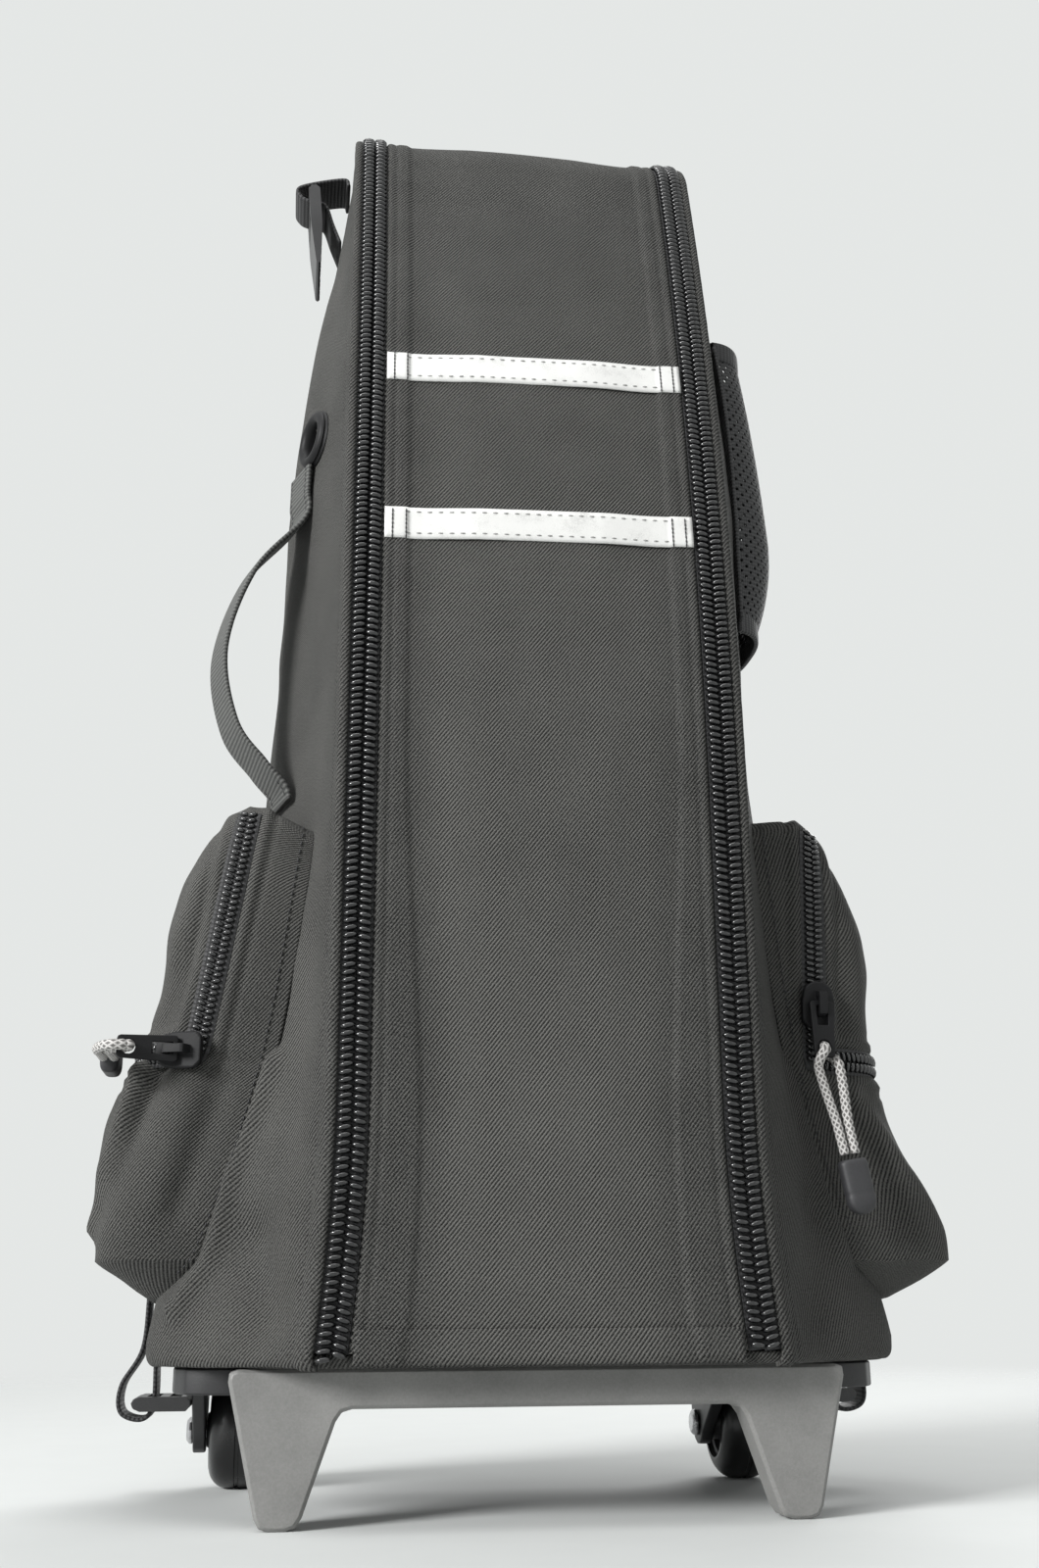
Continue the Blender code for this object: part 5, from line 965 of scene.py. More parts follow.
pocketCreases = {
    -1: (crease(-0.0050, 0.0046, (-0.133, -0.051, 0.147), (-0.137, -0.051, 0.136), (-0.142, -0.047, 0.113),
                (-0.147, -0.041, 0.099)),
         crease(0.0044, 0.0034, (-0.139, -0.047, 0.148), (-0.142, -0.048, 0.134), (-0.147, -0.042, 0.113),
                (-0.151, -0.032, 0.094)),
         crease(-0.0010, 0.0016, (-0.119, -0.057, 0.153), (-0.099, -0.058, 0.149)),
         crease(-0.0024, 0.0055, (-0.115, -0.059, 0.214), (-0.123, -0.057, 0.192), (-0.133, -0.049, 0.165)),
         crease(0.0016, 0.0050, (-0.124, -0.054, 0.214), (-0.132, -0.049, 0.188)),
         crease(0.0018, 0.0085, (-0.122, -0.054, 0.140), (-0.131, -0.050, 0.104)),
         crease(-0.0016, 0.0050, (-0.112, -0.057, 0.140), (-0.124, -0.053, 0.100))),
    1: (crease(0.0034, 0.0048, (0.120, -0.056, 0.139), (0.135, -0.051, 0.114), (0.149, -0.040, 0.094)),
        crease(-0.0034, 0.0060, (0.110, -0.057, 0.128), (0.126, -0.052, 0.104), (0.138, -0.046, 0.088)),
        crease(-0.0026, 0.0045, (0.098, -0.058, 0.140), (0.121, -0.056, 0.136)),
        crease(0.0014, 0.0050, (0.120, -0.056, 0.200), (0.124, -0.056, 0.169)),
        crease(-0.0014, 0.0045, (0.113, -0.058, 0.190), (0.117, -0.057, 0.150)))}


def pocketSizes(height, offset=0.0, side=0, tuck=0.0):
    # reach from the root, middle depth and half depth; side 0 is the plain CAD form
    puff = between(height, pocketPuff[side])
    reach = between(height, pocket["reach"]) + puff - pocket["root"] + offset - tuck
    share = rising(height, pocket["foot"], pocket["top"] - pocket["foot"])
    grow = offset - tuck * pocket["tuckShare"]
    front = pocket["frontFoot"] + (pocket["frontTop"] - pocket["frontFoot"]) * share - grow
    back = pocket["back"] + grow
    return reach, (front + back) / 2, (back - front) / 2


def pocketRing(height, angle, side=0, tuck=0.0):
    # rounder above the seam, squarer below it
    reach, middle, half = pocketSizes(height, 0.0, side, tuck)
    power = 0.5 - 0.16 * clamp((pocket["seam"] - 0.010 - height) / 0.03) * abs(side)
    return Vector((pocket["root"] + reach * signedPower(math.cos(angle), power),
                   middle + half * signedPower(math.sin(angle), power)))


def pocketSurface(height, x, offset, side=0):
    reach, middle, half = pocketSizes(height, offset, side)
    return middle - half * max(0.0, 1 - ((x - pocket["root"]) / reach) ** 4) ** 0.25


def pocketRow(height, tuck, side, dense=160):
    # evenly spaced points from the front seam on the wall, round the outside, to the back seam
    ring = [pocketRing(height, math.pi * (k / dense - 0.5), side, tuck) for k in range(dense + 1)]
    seen = [p for p in ring if p.x > wallX(height, p.y)]
    if len(seen) < 3:
        middle = pocketSizes(height, 0.0, side, tuck)[1]
        seen = [Vector((wallX(height, middle + d), middle + d)) for d in (-0.003, 0.0, 0.003)]
    first, last = (Vector((wallX(height, p.y), p.y)) for p in (seen[0], seen[-1]))
    line = [first, *seen, last]
    run = runLengths(line)
    points, k = [], 0
    for step in range(pocket["columns"] + 1):
        want = run[-1] * step / pocket["columns"]
        while k + 2 < len(run) and run[k + 1] < want:
            k += 1
        points.append(line[k].lerp(line[k + 1], (want - run[k]) / max(run[k + 1] - run[k], 1e-9)))
    return points, run[-1]


def pocketLevels():
    # (height, tuck): under the foot, up its slanted corner, up the side and over the top edge
    low, high, rise, tuck, roll = (pocket[key] for key in ("foot", "top", "footRise", "footTuck", "topRound"))
    levels = [(low, tuck + pocket["underReach"] * (1 - k / 8) ** 1.3) for k in range(8)]
    levels += [(low + rise * (1 - math.cos(a) ** 1.8), tuck * (1 - math.sin(a) ** 1.8)) for a in quarter(12)]
    rows, climb = pocket["rows"], high - roll - low - rise
    levels += [(low + rise + climb * k / rows, 0.0) for k in range(1, rows + 1)]
    levels += [(high - roll * (1 - math.sin(a)), roll * (1 - math.cos(a))) for a in quarter(8)[1:]]
    return levels + [(high, roll + pocket["lidReach"] * (k / 6) ** 1.2) for k in range(1, 7)]


def zipAway(point):
    # distance from the pocket zip's middle line, seen from the front for its upright part
    x, height, depth = abs(point.x), point.z - bag["baseZ"], point.y + bag["centreDepth"]
    foot = pocket["zipFootX"][1 if point.x > 0 else -1]
    a, b = Vector((pocket["zipTopX"], pocket["zipTop"])), Vector((foot, pocket["seam"]))
    here = Vector((x, height))
    t = clamp((here - a).dot(b - a) / (b - a).length_squared)
    away = (here - a.lerp(b, t)).length if depth < 0.06 else 1.0
    if x > foot - 0.002 and depth < pocket["zipBack"]:
        away = min(away, abs(height - pocket["seam"]))
    return away


def sidePocket(side, name):
    levels = pocketLevels()
    rows = [(pocketRow(height, tuck, side), height, tuck) for height, tuck in levels]
    run = runLengths([Vector(level) for level in levels])

    def place(point, height, tuck):
        # the top edge falls away from the zip towards the front seam
        middle, half = pocketSizes(height, 0.0, side, tuck)[1:]
        near = clamp(((middle - point.y) / half - 0.2) / 0.6)
        drop = clamp((pocket["zipTopX"] - point.x) / 0.022) * rising(height, 0.12, 0.07) ** 2
        return at(side * point.x, point.y, bag["baseZ"] + height - pocket["frontDrop"][side] * near * drop)

    def spot(i, j):
        (points, length), height, tuck = rows[j]
        return place(points[i], height, tuck), (length * (i / pocket["columns"] - 0.5) + 1.0, side * run[j])

    def folds(point):
        return sum(hollowAlong(point, fold) for fold in pocketCreases[side])

    def lift(point, flat):
        away = zipAway(point)
        free = rising(abs(point.x), 0.098, 0.03) * min(1.0, away / 0.02)
        amount = -pocket["pinch"] * math.exp(-(away / 0.0045) ** 4)
        amount += pocket["piping"] * hump(away, 0.0072, 0.0016)
        amount -= pocket["seamDip"] * hump(away, 0.0105, 0.0010)
        slack = ripple(point, 30.0, pocket["slack"], 7.0 + side) + ripple(point, 80.0, pocket["fine"], 9.0)
        return amount + slack * free + folds(point)

    def wearAndShading(point, flat):
        drift = ripple(point, 20.0, pocket["wearDrift"], 8.0)
        return pocket["wearAndShading"] + drift + pocket["foldWear"] * max(folds(point), 0.0)

    middle = Vector((side * 0.105, -0.01, 0.15))
    bm = sheet(pocket["columns"], len(rows) - 1, spot, lift, lambda p: middle, wearAndShading)
    node = "side_pocket_" + name
    obj = publish(bm, "pocket_cloth_" + name, [twillCloth, lining], "bag", "twill_cloth", [node])
    thicken(obj, pocket["wall"], inner=1)
    proud, out = Vector((side * 0.0004, -0.0004, 0)), Vector((side * 0.6, -0.8, 0.0))
    edge = [place(points[pocket["stitchColumn"]], height, tuck) + proud
            for (points, length), height, tuck in rows[pocket["stitchRows"]]]
    stitching("pocket_stitch_" + name, marksAlong(edge, [out] * len(edge), stitchPitch), "bag")


# pocket zips: the main zip's make in a smaller size
pocketZipLook = {"pitch": 0.0022, "coil": (0.0021, 0.00094, 0.0012), "reach": 0.0018,
                 "lean": math.atan2(0.2, 0.97), "proud": 0.0003, "tapeHalf": (0.0050, 0.0005),
                 "corner": 0.002}


def pocketZipLine(side, steps=40, turns=400):
    # the zip's middle line with outward directions: down the front, then level round the outside
    line = []
    foot, seam = pocket["zipFootX"][side], pocket["seam"]
    for k in range(steps + 1):
        t = k / steps
        height = pocket["zipTop"] + (seam - pocket["zipTop"]) * t
        x = pocket["zipTopX"] + (foot - pocket["zipTopX"]) * t
        line.append((x, pocketSurface(height, x, 0.0, side), height))
    for k in range(turns):
        p = pocketRing(seam, -math.pi / 2 + math.pi * k / turns, side)
        if p.x > foot + pocketZipLook["corner"] and p.y < pocket["zipBack"]:
            line.append((p.x, p.y, seam))
    marks = []
    for x, depth, height in line:
        reach, middle, half = pocketSizes(height, 0.0, side)
        across, inward = ((x - pocket["root"]) / reach) ** 3 / reach, ((depth - middle) / half) ** 3 / half
        out = Vector((side * across, inward, 0)).normalized()
        marks.append((at(side * x, depth, bag["baseZ"] + height), out))
    return marks


def pocketZip(side, name):
    line = pocketZipLine(side)
    points, outs = zip(*line)
    batches = []
    for inward, start in ((1, 0.0), (-1, 0.25)):
        path = [points[0].lerp(points[1], start), *points[1:]]
        batches.append((coilMarks(path, outs, pocketZipLook, inward), pocketZipLook["coil"]))
    node = "pocket_zip_" + name
    beads("pocket_coils_" + name, batches, [coil], "bag", "zip_coil", [node], 8, 5)
    zipTapeBand("pocket_tape_" + name, line, pocketZipLook["tapeHalf"], "bag", node)


# zip pulls: braided cord looped through the tab's eye, closed in a rubber tip
pull = {"cord": 0.00178, "length": 0.0405, "spread": 0.0044, "gap": 0.0031, "tip": (0.019, 0.00525, 0.0033),
        "tipGap": 0.0004, "eye": 0.016136, "bail": 0.0046, "slider": (0.017, 0.0128), "open": 0.020,
        "zipEnd": 0.016, "pastCorner": 0.004725, "proud": {-1: 0.0010, 1: 0.0002},
        "yaw": {"left": 0.0, "right": math.radians(10)}, "braid": 0.085, "braidPitch": 0.0052,
        "lean": {"left": math.radians(35), "right": math.radians(173)},
        "firstStep": Vector((0.0037, 0.0031)), "edgeSteps": (0.0057, 0.0146, 0.0246)}


def zipAxis(side, height):
    foot = pocket["zipFootX"][side]
    share = (height - pocket["seam"]) / (pocket["zipTop"] - pocket["seam"])
    x = foot + (pocket["zipTopX"] - foot) * share
    return at(side * x, pocketSurface(height, x, pocket["zipProud"]), bag["baseZ"] + height)


def sliderFrame(side):
    length, width = pull["slider"]
    if side > 0:
        height, half = pocket["seam"] + pull["open"], width / 2
        place = zipAxis(side, height)
        along = (zipAxis(side, pocket["top"] - pull["zipEnd"]) - place).normalized()
        before, after = (pocketSurface(height, place.x + step, 0.0) for step in (-half, half))
        out = Vector((side * (after - before) / (2 * half), -1.0, 0.0))
        out = (out - along * out.dot(along)).normalized()
    else:
        x = pocket["zipFootX"][side] + pull["pastCorner"]
        place, far = (at(side * v, pocketSurface(pocket["seam"] - width / 2, v, pocket["zipProud"]),
                         bag["baseZ"] + pocket["seam"]) for v in (x, x + length / 2))
        along = (far - place).normalized()
        out = up.cross(along) * -side
        out = out if out.y < 0 else -out
    return place + out * pull["proud"][side], along, out.cross(along), out


def pullRoute(name, along, out, bail):
    # the cord's middle line in (along, out) from the bail: down on the right, over the edge on the left
    lean = pull["lean"][name]
    way = Vector((math.cos(lean), math.sin(lean)))
    start = way * pull["eye"]
    if name == "right":
        return [start, *[start + way * pull["length"] * share for share in (0.18, 0.5, 1.0)]]
    low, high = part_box("pull_tip_left")
    eye = bail + along * start.x + out * start.y
    offs = [Vector(((low[0] + high[0]) / 2, eye.y + step, eye.z)) - bail for step in pull["edgeSteps"]]
    return [start, start + pull["firstStep"], *[Vector((off.dot(along), off.dot(out))) for off in offs]]


def cordStrand(name, middle, across, sign):
    # the two strands leave the eye before and behind the tab; on the right they turn side by side and open
    points, ahead = [], headings(middle)
    for k in range(2, len(middle), 3):
        t = k / (len(middle) - 1)
        aside = across.cross(ahead[k]).normalized()
        if name == "right":
            swing = min(1.0, t / 0.32) * math.pi / 2
            opening = math.sin(math.pi * min(1.0, t / 0.8))
            gap = pull["gap"] + (pull["spread"] - pull["gap"]) * opening - 0.0012 * t
            aside = aside * math.cos(swing) + across * math.sin(swing)
        else:
            gap = pull["gap"] * (1 - 0.38 * min(1.0, t / 0.45))
        points.append(middle[k] + aside * sign * gap)
    return points


def braid(angle, length):
    turn = length * math.tau / pull["braidPitch"]
    return 1 + pull["braid"] * math.cos(4 * angle + turn) * math.cos(4 * angle - turn)


def tipSize(t):
    # half width and half thickness along the tip: a soft shoulder, a groove and a rounded end
    grow = 0.86 + 0.14 * min(1.0, t / 0.06)
    close = math.sqrt(max(0.0, 1 - max(0.0, (t - 0.72) / 0.28) ** 2.4))
    grow *= 1 - 0.06 * hump(t, 0.62, 0.02)
    return pull["tip"][1] * grow * max(close, 0.08), pull["tip"][2] * grow * max(close ** 0.8, 0.08)


def zipPull(side, name):
    origin, along, across, out = sliderFrame(side)
    bail = origin + out * pull["bail"]
    route = pullRoute(name, along, out, bail)
    eye = bail + along * route[0].x + out * route[0].y
    turn = Matrix.Rotation(pull["yaw"][name], 3, out)
    along, across = turn @ along, turn @ across
    line = [eye + along * (p - route[0]).x + out * (p - route[0]).y for p in route]
    middle = smoothPath(line, 12)
    before, behind = (cordStrand(name, middle, across, sign) for sign in (1, -1))
    path = smoothPath(before[::-1] + [eye] + behind, 5)
    bm = alongPath(path, [across] * len(path), (pull["cord"], pull["cord"]), 2.0, 32, relief=braid)
    publish(bm, "braided_cord_" + name, [cordYarn], "pull_" + name, "pull_cord", ["pull_cord_" + name])
    ahead = (line[-1] - line[-2]).normalized()
    first = line[-1] + ahead * pull["tipGap"]
    path = [first + ahead * pull["tip"][0] * (1 - (1 - k / 28) ** 1.6) for k in range(29)]
    bm = alongPath(path, [across] * len(path), tipSize, 3.2, 40)
    publish(bm, "rubber_tip_" + name, [tipRubber], "pull_" + name, "rubber", ["pull_tip_" + name])


# webbing bands: half width and half thickness
band = {"webbing": (0.010, 0.00085), "handle": (0.010, 0.0010), "cylinder": (0.0125, 0.0007)}


def webbingBand(name, path, sides, size, mat, nodes):
    publish(alongPath(path, sides, size, 7.0, 24), name, [mat], "bag", "webbing", nodes)


# carry handle: (height, share of the full stand-off) along the band, sewn down in two rows at each end
handleLook = {"depth": 0.052, "lift": 0.0024, "standOff": 0.029, "stitchEdge": 0.0075, "stitchPitch": 0.0026,
              "shares": ((0.346, 0.0), (0.334, 0.0), (0.322, 0.02), (0.298, 0.66), (0.264, 1.0),
                         (0.2335, 0.80), (0.2165, 0.36), (0.2075, 0.08), (0.2015, 0.0))}


def sideHandle():
    points, sides = [], []
    for height, share in handleLook["shares"]:
        point, out = wallPoint(height, handleLook["depth"], -1)
        points.append(point + out * handleLook["lift"] - right * handleLook["standOff"] * share)
        sides.append(out.cross(up))
    path, turns = smoothPath(points, 10), smoothPath(sides, 10)
    webbingBand("carry_handle", path, turns, band["handle"], greyWebbing, ["side_handle"])
    marks = []
    for start, stop in ((1, 18), (len(path) - 14, len(path) - 2)):
        for edge in (-handleLook["stitchEdge"], handleLook["stitchEdge"]):
            row, outs = [], []
            for j in range(start, stop):
                turn = turns[j].normalized()
                out = turn.cross((path[j + 1] - path[j - 1]).normalized())
                outs.append(out if out.x < 0 else -out)
                row.append(path[j] + turn * edge + outs[-1] * band["handle"][1])
            marks += marksAlong(row, outs, handleLook["stitchPitch"])
    stitching("handle_stitching", marks, "bag")


# upper locks: the left one stands off the wall, the right one lies flat
upperLook = {"left": {"depth": 0.082, "standOff": 0.0172, "lean": 0.09},
             "right": {"depth": 0.112, "standOff": 0.0105, "lean": -0.05},
             "lock": 0.504, "root": 0.509, "tail": 0.478, "lift": 0.00135, "slot": 0.0059, "bight": 0.0048,
             "slack": 0.28}


def upperStrap(side, name):
    depth, standOff, lean = (upperLook[name][key] for key in ("depth", "standOff", "lean"))
    lock, root, tail = (wallPoint(upperLook[key], depth, side)[0] for key in ("lock", "root", "tail"))
    outward = right * side
    along = Vector((-side * lean, 0, -1)).normalized()
    face = Vector((side, 0, -lean)).normalized()
    lift, bight = upperLook["lift"], upperLook["bight"]
    slot = lock + outward * standOff + along * upperLook["slot"]
    over = slot + face * (bight + 0.0010)
    slack = (standOff - bight) * upperLook["slack"]
    route = [root + outward * lift, root + outward * (lift + 0.0030) + up * 0.0030, over - along * 0.0085,
             over - along * 0.0030, slot, slot - face * bight + along * 0.0016,
             tail + outward * (lift + slack) + up * 0.0090, tail + outward * lift]
    path = smoothPath(route, 10)
    webbingBand("lock_webbing_" + name, path, [deepward] * len(path), band["webbing"], blackWebbing,
                ["upper_webbing_" + name])


# shoulder straps: padded, edge-bound, with webbing down to the lower locks
strapLook = {"half": 0.022, "thick": 0.0030, "depth": 0.1691, "binding": (0.0021, 0.0016),
             "top": (0.036, 0.5277), "foot": (0.052, 0.2487), "bow": 0.004, "columns": 36, "quilts": 6,
             "quiltDip": 0.16, "puff": 0.0004, "stitchInset": 0.0052, "clear": (0.084, 0.1681, 0.1827),
             "slot": (0.1344, 0.132, 0.0330), "loop": 0.0120, "bight": 0.0056}


def endSize(t):
    return math.sqrt(max(0.02, 1 - max(0.0, abs(2 * t - 1) - 0.93) ** 2 / 0.0049))


def strapHalf(t):
    return strapLook["half"] * (0.55 + 0.45 * endSize(t))


def shoulderStrap(side, name):
    top, foot = (at(side * x, strapLook["depth"], z) for x, z in (strapLook["top"], strapLook["foot"]))
    outward = right * side
    line = smoothPath([top, (top + foot) / 2 + outward * strapLook["bow"], foot], 60)
    last, columns = len(line) - 1, strapLook["columns"]

    def spot(i, j):
        # a closed pillow section: flat against the pad, crowned outside, thin at the bound edge
        t, angle = j / last, math.tau * i / columns
        c, s = math.cos(angle), math.sin(angle)
        x = strapHalf(t) * signedPower(c, 0.6)
        row = t * strapLook["quilts"]
        quilt = 1 - strapLook["quiltDip"] * hump(row, round(row), 0.10) * (0.1 < t < 0.95)
        body = (1 - abs(c) ** 5) ** 0.5
        thick = strapLook["thick"] * (0.45 + 0.55 * body * quilt) * (0.5 + 0.5 * endSize(t))
        puff = ripple(line[j] + right * x, 45.0, strapLook["puff"], 11.0) if s > 0 else 0.0
        return line[j] + right * x + deepward * (thick * signedPower(s, 0.7) + puff), (x + 0.1, t * 0.28)

    bm = closeEnds(sheet(columns, last, spot, closed=True))
    obj = publish(bm, "strap_pad_" + name, [twillCloth], "bag", "webbing", ["shoulder_strap_" + name])
    rows = [(1, j) for j in range(last + 1)] + [(-1, j) for j in range(last, -1, -1)]
    rim = [line[j] + right * sign * strapHalf(j / last) for sign, j in rows]
    rim += rim[:2]
    bm = alongPath(rim, [deepward] * len(rim), strapLook["binding"], 3.0, 12)
    publish(bm, "strap_binding_" + name, [blackWebbing], "bag", "webbing")
    marks = []
    for sign in (-1, 1):
        inset = right * sign * (strapLook["half"] - strapLook["stitchInset"])
        row = [point + inset + deepward * strapLook["thick"] * 0.93 for point in line[8:-8]]
        marks += marksAlong(row, [deepward] * len(row), stitchPitch)
    stitching("strap_stitching_" + name, marks, "bag")

    # the webbing leaves the pad's foot, turns edge-on and loops through the lower lock
    clear, slot = (at(side * x, depth, z) for x, depth, z in (strapLook["clear"], strapLook["slot"]))
    loop = slot + outward * strapLook["loop"]
    route = [foot + up * 0.010, foot + Vector((side * 0.006, 0, -0.014)), clear,
             slot + Vector((-side * 0.0040, 0.006, 0.088)), slot + up * 0.042, slot + up * 0.016, slot,
             slot - up * strapLook["bight"] + outward * 0.0040, loop - up * 0.0030,
             loop + up * 0.0065 + outward * 0.0004, slot + up * 0.020 + outward * 0.0052,
             slot + up * 0.042 + outward * 0.0040]
    path = smoothPath(route, 9)
    sides = [right.lerp(deepward * -side, clamp((k / 3 - 6) / 6)) for k in range(len(path))]
    webbingBand("strap_webbing_" + name, path, sides, band["webbing"], blackWebbing,
                ["shoulder_strap_" + name])


# net pocket: a knitted net with round holes, bound along its mouth and foot
net = {"root": 0.080, "front": 0.046, "back": 0.106, "foot": 0.288, "top": 0.417, "bulge": 0.0095,
       "fullAt": 0.34, "wide": 0.088, "cell": 0.0034, "yarn": 0.00085, "thick": 0.0007, "gap": 0.0010,
       "proud": 0.0026, "binding": (0.0045, 0.0011), "edge": (0.0042, 0.0009), "edgeSteps": 40}


def netPoint(across, share):
    # across runs 0 to 1 from the front seam to the back seam
    height = net["foot"] + (net["top"] - net["foot"]) * share
    full = net["fullAt"]
    swell = net["bulge"] * (1 - (1 - clamp(share / full)) ** 2) * (1 - 0.45 * max(share - full, 0.0))
    reach = between(height, bag["half"]) + net["proud"] + swell - net["root"]
    angle = math.pi * (across - 0.5)
    middle, half = (net["front"] + net["back"]) / 2, (net["back"] - net["front"]) / 2
    depth = middle + half * signedPower(math.sin(angle), 0.7)
    x = max(net["root"] + reach * max(math.cos(angle), 0.0) ** 0.7, wallX(height, depth) + net["gap"])
    return at(x, depth, bag["baseZ"] + height)


def netPocket():
    bm = bmesh.new()
    wide, tall, cell = net["wide"], net["top"] - net["foot"], net["cell"]
    count = int((wide + tall) / cell)
    bmesh.ops.create_grid(bm, x_segments=count, y_segments=count, size=count * cell / 2)
    bmesh.ops.rotate(bm, verts=bm.verts, cent=(0, 0, 0), matrix=Matrix.Rotation(math.radians(45), 3, "Z"))
    for way in (right * wide / 2, -right * wide / 2, deepward * tall / 2, -deepward * tall / 2):
        bmesh.ops.bisect_plane(bm, geom=bm.verts[:] + bm.edges[:] + bm.faces[:], plane_co=way,
                               plane_no=way.normalized(), clear_outer=True)
    rims = bmesh.ops.inset_individual(bm, faces=bm.faces[:], thickness=net["yarn"], use_even_offset=True)
    fresh = set(rims["faces"])
    bmesh.ops.delete(bm, geom=[f for f in bm.faces if f not in fresh], context="FACES")
    uv = bm.loops.layers.uv.new("cloth")
    for face in bm.faces:
        for loop in face.loops:
            loop[uv].uv = loop.vert.co.xy
    for vert in bm.verts:
        vert.co = netPoint(vert.co.x / wide + 0.5, vert.co.y / tall + 0.5)
    bm.normal_update()
    if sum(f.normal.x for f in bm.faces) < 0:
        bmesh.ops.reverse_faces(bm, faces=bm.faces)
    obj = publish(bm, "net_pocket", [blackWebbing], "bag", "netting", ["mesh_pocket"])
    mod = obj.modifiers.new("round", "SUBSURF")
    mod.levels = mod.render_levels = 1
    thicken(obj, net["thick"], 0.0)
    shares = [k / net["edgeSteps"] for k in range(net["edgeSteps"] + 1)]
    rims = [("binding_mouth", [netPoint(share, 1.0) for share in shares], up),
            ("binding_foot", [netPoint(share, 0.0) for share in shares], up),
            ("edge_front", [netPoint(0.02, share) for share in shares], deepward),
            ("edge_back", [netPoint(0.98, share) for share in shares], deepward)]
    for name, path, side in rims:
        bm = alongPath(path, [side] * len(path), net[name.split("_")[0]], 5.0, 20)
        publish(bm, "net_" + name, [blackWebbing], "bag", "netting")


# back pad: a foam pillow over the handle tubes, sewn down in channels
pad = {"footHalf": 0.070, "topHalf": 0.056, "low": 0.0607, "high": 0.5427, "round": 0.018, "front": 0.1462,
       "back": 0.1656, "plump": 0.014, "seams": (0.0, 0.024, -0.024), "seamDip": 0.0046, "seamWidth": 0.0030,
       "bars": (0.14, 0.22, 0.30, 0.38, 0.46), "barDip": 0.0020, "slack": 0.0004, "cloth": 0.0012,
       "columns": 70, "levels": 190}


def backPad():
    columns, levels, low, high = (pad[key] for key in ("columns", "levels", "low", "high"))

    def outline(z):
        half = pad["footHalf"] + (pad["topHalf"] - pad["footHalf"]) * (z - low) / (high - low)
        over = max(0.0, 1 - min(z - low, high - z) / pad["round"])
        return half - pad["round"] * (1 - math.sqrt(max(0.0, 1 - over * over)))

    def spot(i, j):
        z = low + (high - low) * (0.5 - 0.5 * math.cos(math.pi * j / levels))
        half = outline(z)
        x = half * math.sin(math.pi / 2 * (2 * i / columns - 1))
        edge = min(half - abs(x), z - low, high - z)
        plump = math.sqrt(max(0.0, 1 - (1 - min(edge / pad["plump"], 1.0)) ** 2))
        dips = [pad["seamDip"] * hump(x, seam, pad["seamWidth"]) for seam in pad["seams"]]
        dips += [pad["barDip"] * hump(z, bar, pad["seamWidth"]) for bar in pad["bars"]]
        slack = pad["slack"] + ripple(Vector((x, 0, z)), 40.0, pad["slack"], 13.0)
        depth = pad["front"] + (pad["back"] - slack - pad["front"]) * plump - max(dips) * plump
        return at(x, depth, z), (x + 0.2, z)

    bm = sheet(columns, levels, spot, inside=lambda p: Vector((0, 0.0, p.z)))
    obj = publish(bm, "pad_cloth", [twillCloth], "bag", "twill_cloth", ["back_pad"])
    thicken(obj, pad["cloth"])
    return obj


# turned parts: a profile of (radius, height) spun round an axis
def spun(name, profile, origin, axis, mat, body, slot, node, steps, closed=True, angle=38):
    bm = bmesh.new()
    verts = [bm.verts.new((radius, 0, height)) for radius, height in profile]
    edges = [bm.edges.new(pair) for pair in zip(verts, verts[1:])]
    if closed:
        edges.append(bm.edges.new((verts[-1], verts[0])))
    bmesh.ops.spin(bm, geom=verts + edges, cent=(0, 0, 0), axis=(0, 0, 1), angle=math.tau, steps=steps,
                   use_merge=True)
    bmesh.ops.remove_doubles(bm, verts=bm.verts, dist=1e-6)
    bmesh.ops.recalc_face_normals(bm, faces=bm.faces)
    turn = axis.to_track_quat("Z", "Y").to_matrix().to_4x4()
    bmesh.ops.transform(bm, matrix=Matrix.Translation(origin) @ turn, verts=bm.verts)
    return publish(bm, name, [mat], body, slot, [node], angle=angle)


def arc(radius, start, stop, centre, steps=8):
    angles = [math.radians(start + (stop - start) * k / steps) for k in range(steps + 1)]
    return [(centre[0] + radius * math.cos(a), centre[1] + radius * math.sin(a)) for a in angles]


def mirrored(profile):
    return profile + [(radius, -height) for radius, height in reversed(profile)]


# castors: a rounded tyre with a parting line round its tread, on a webbed hub
wheelLook = {"radius": 0.0215, "half": 0.011, "crown": 0.008, "hub": 0.0137, "reach": 0.0122, "web": 0.0025,
             "track": 0.1025, "axle": (0.1523, 0.0215)}


def castor(side, name):
    centre = at(side * wheelLook["track"], *wheelLook["axle"])
    radius, half, crown, hub, reach, web = (wheelLook[key] for key in (
        "radius", "half", "crown", "hub", "reach", "web"))
    tyre = [(hub + 0.0003, half - 0.0004), (hub + 0.0008, half),
            *arc(crown, 90, 0, (radius - crown, half - crown), 10), (radius, 0.0009),
            (radius - 0.0004, 0.0006)]
    face = [(0.0033, reach), (0.0062, reach), (0.0066, reach - 0.0005), (0.0072, web + 0.001), (0.0080, web),
            (0.0106, web), (0.0114, web + 0.001), (0.0118, half - 0.0026), (0.0124, half - 0.002),
            (hub, half - 0.002)]
    for part, profile, mat, slot, steps in (("tyre", tyre, wheelRubber, "rubber", 72),
                                            ("hub", face, mouldedBlack, "moulded_black", 64)):
        node = f"wheel_{part}_{name}"
        spun(f"{part}_{name}", mirrored(profile), centre, right, mat, "wheel_" + name, slot, node, steps)


# grommet: a rolled eyelet in the left wall with its washer inside
grommetLook = {"bore": 0.00675, "barrel": 0.0085, "rim": 0.0125, "roll": 0.0026, "back": 0.0052}


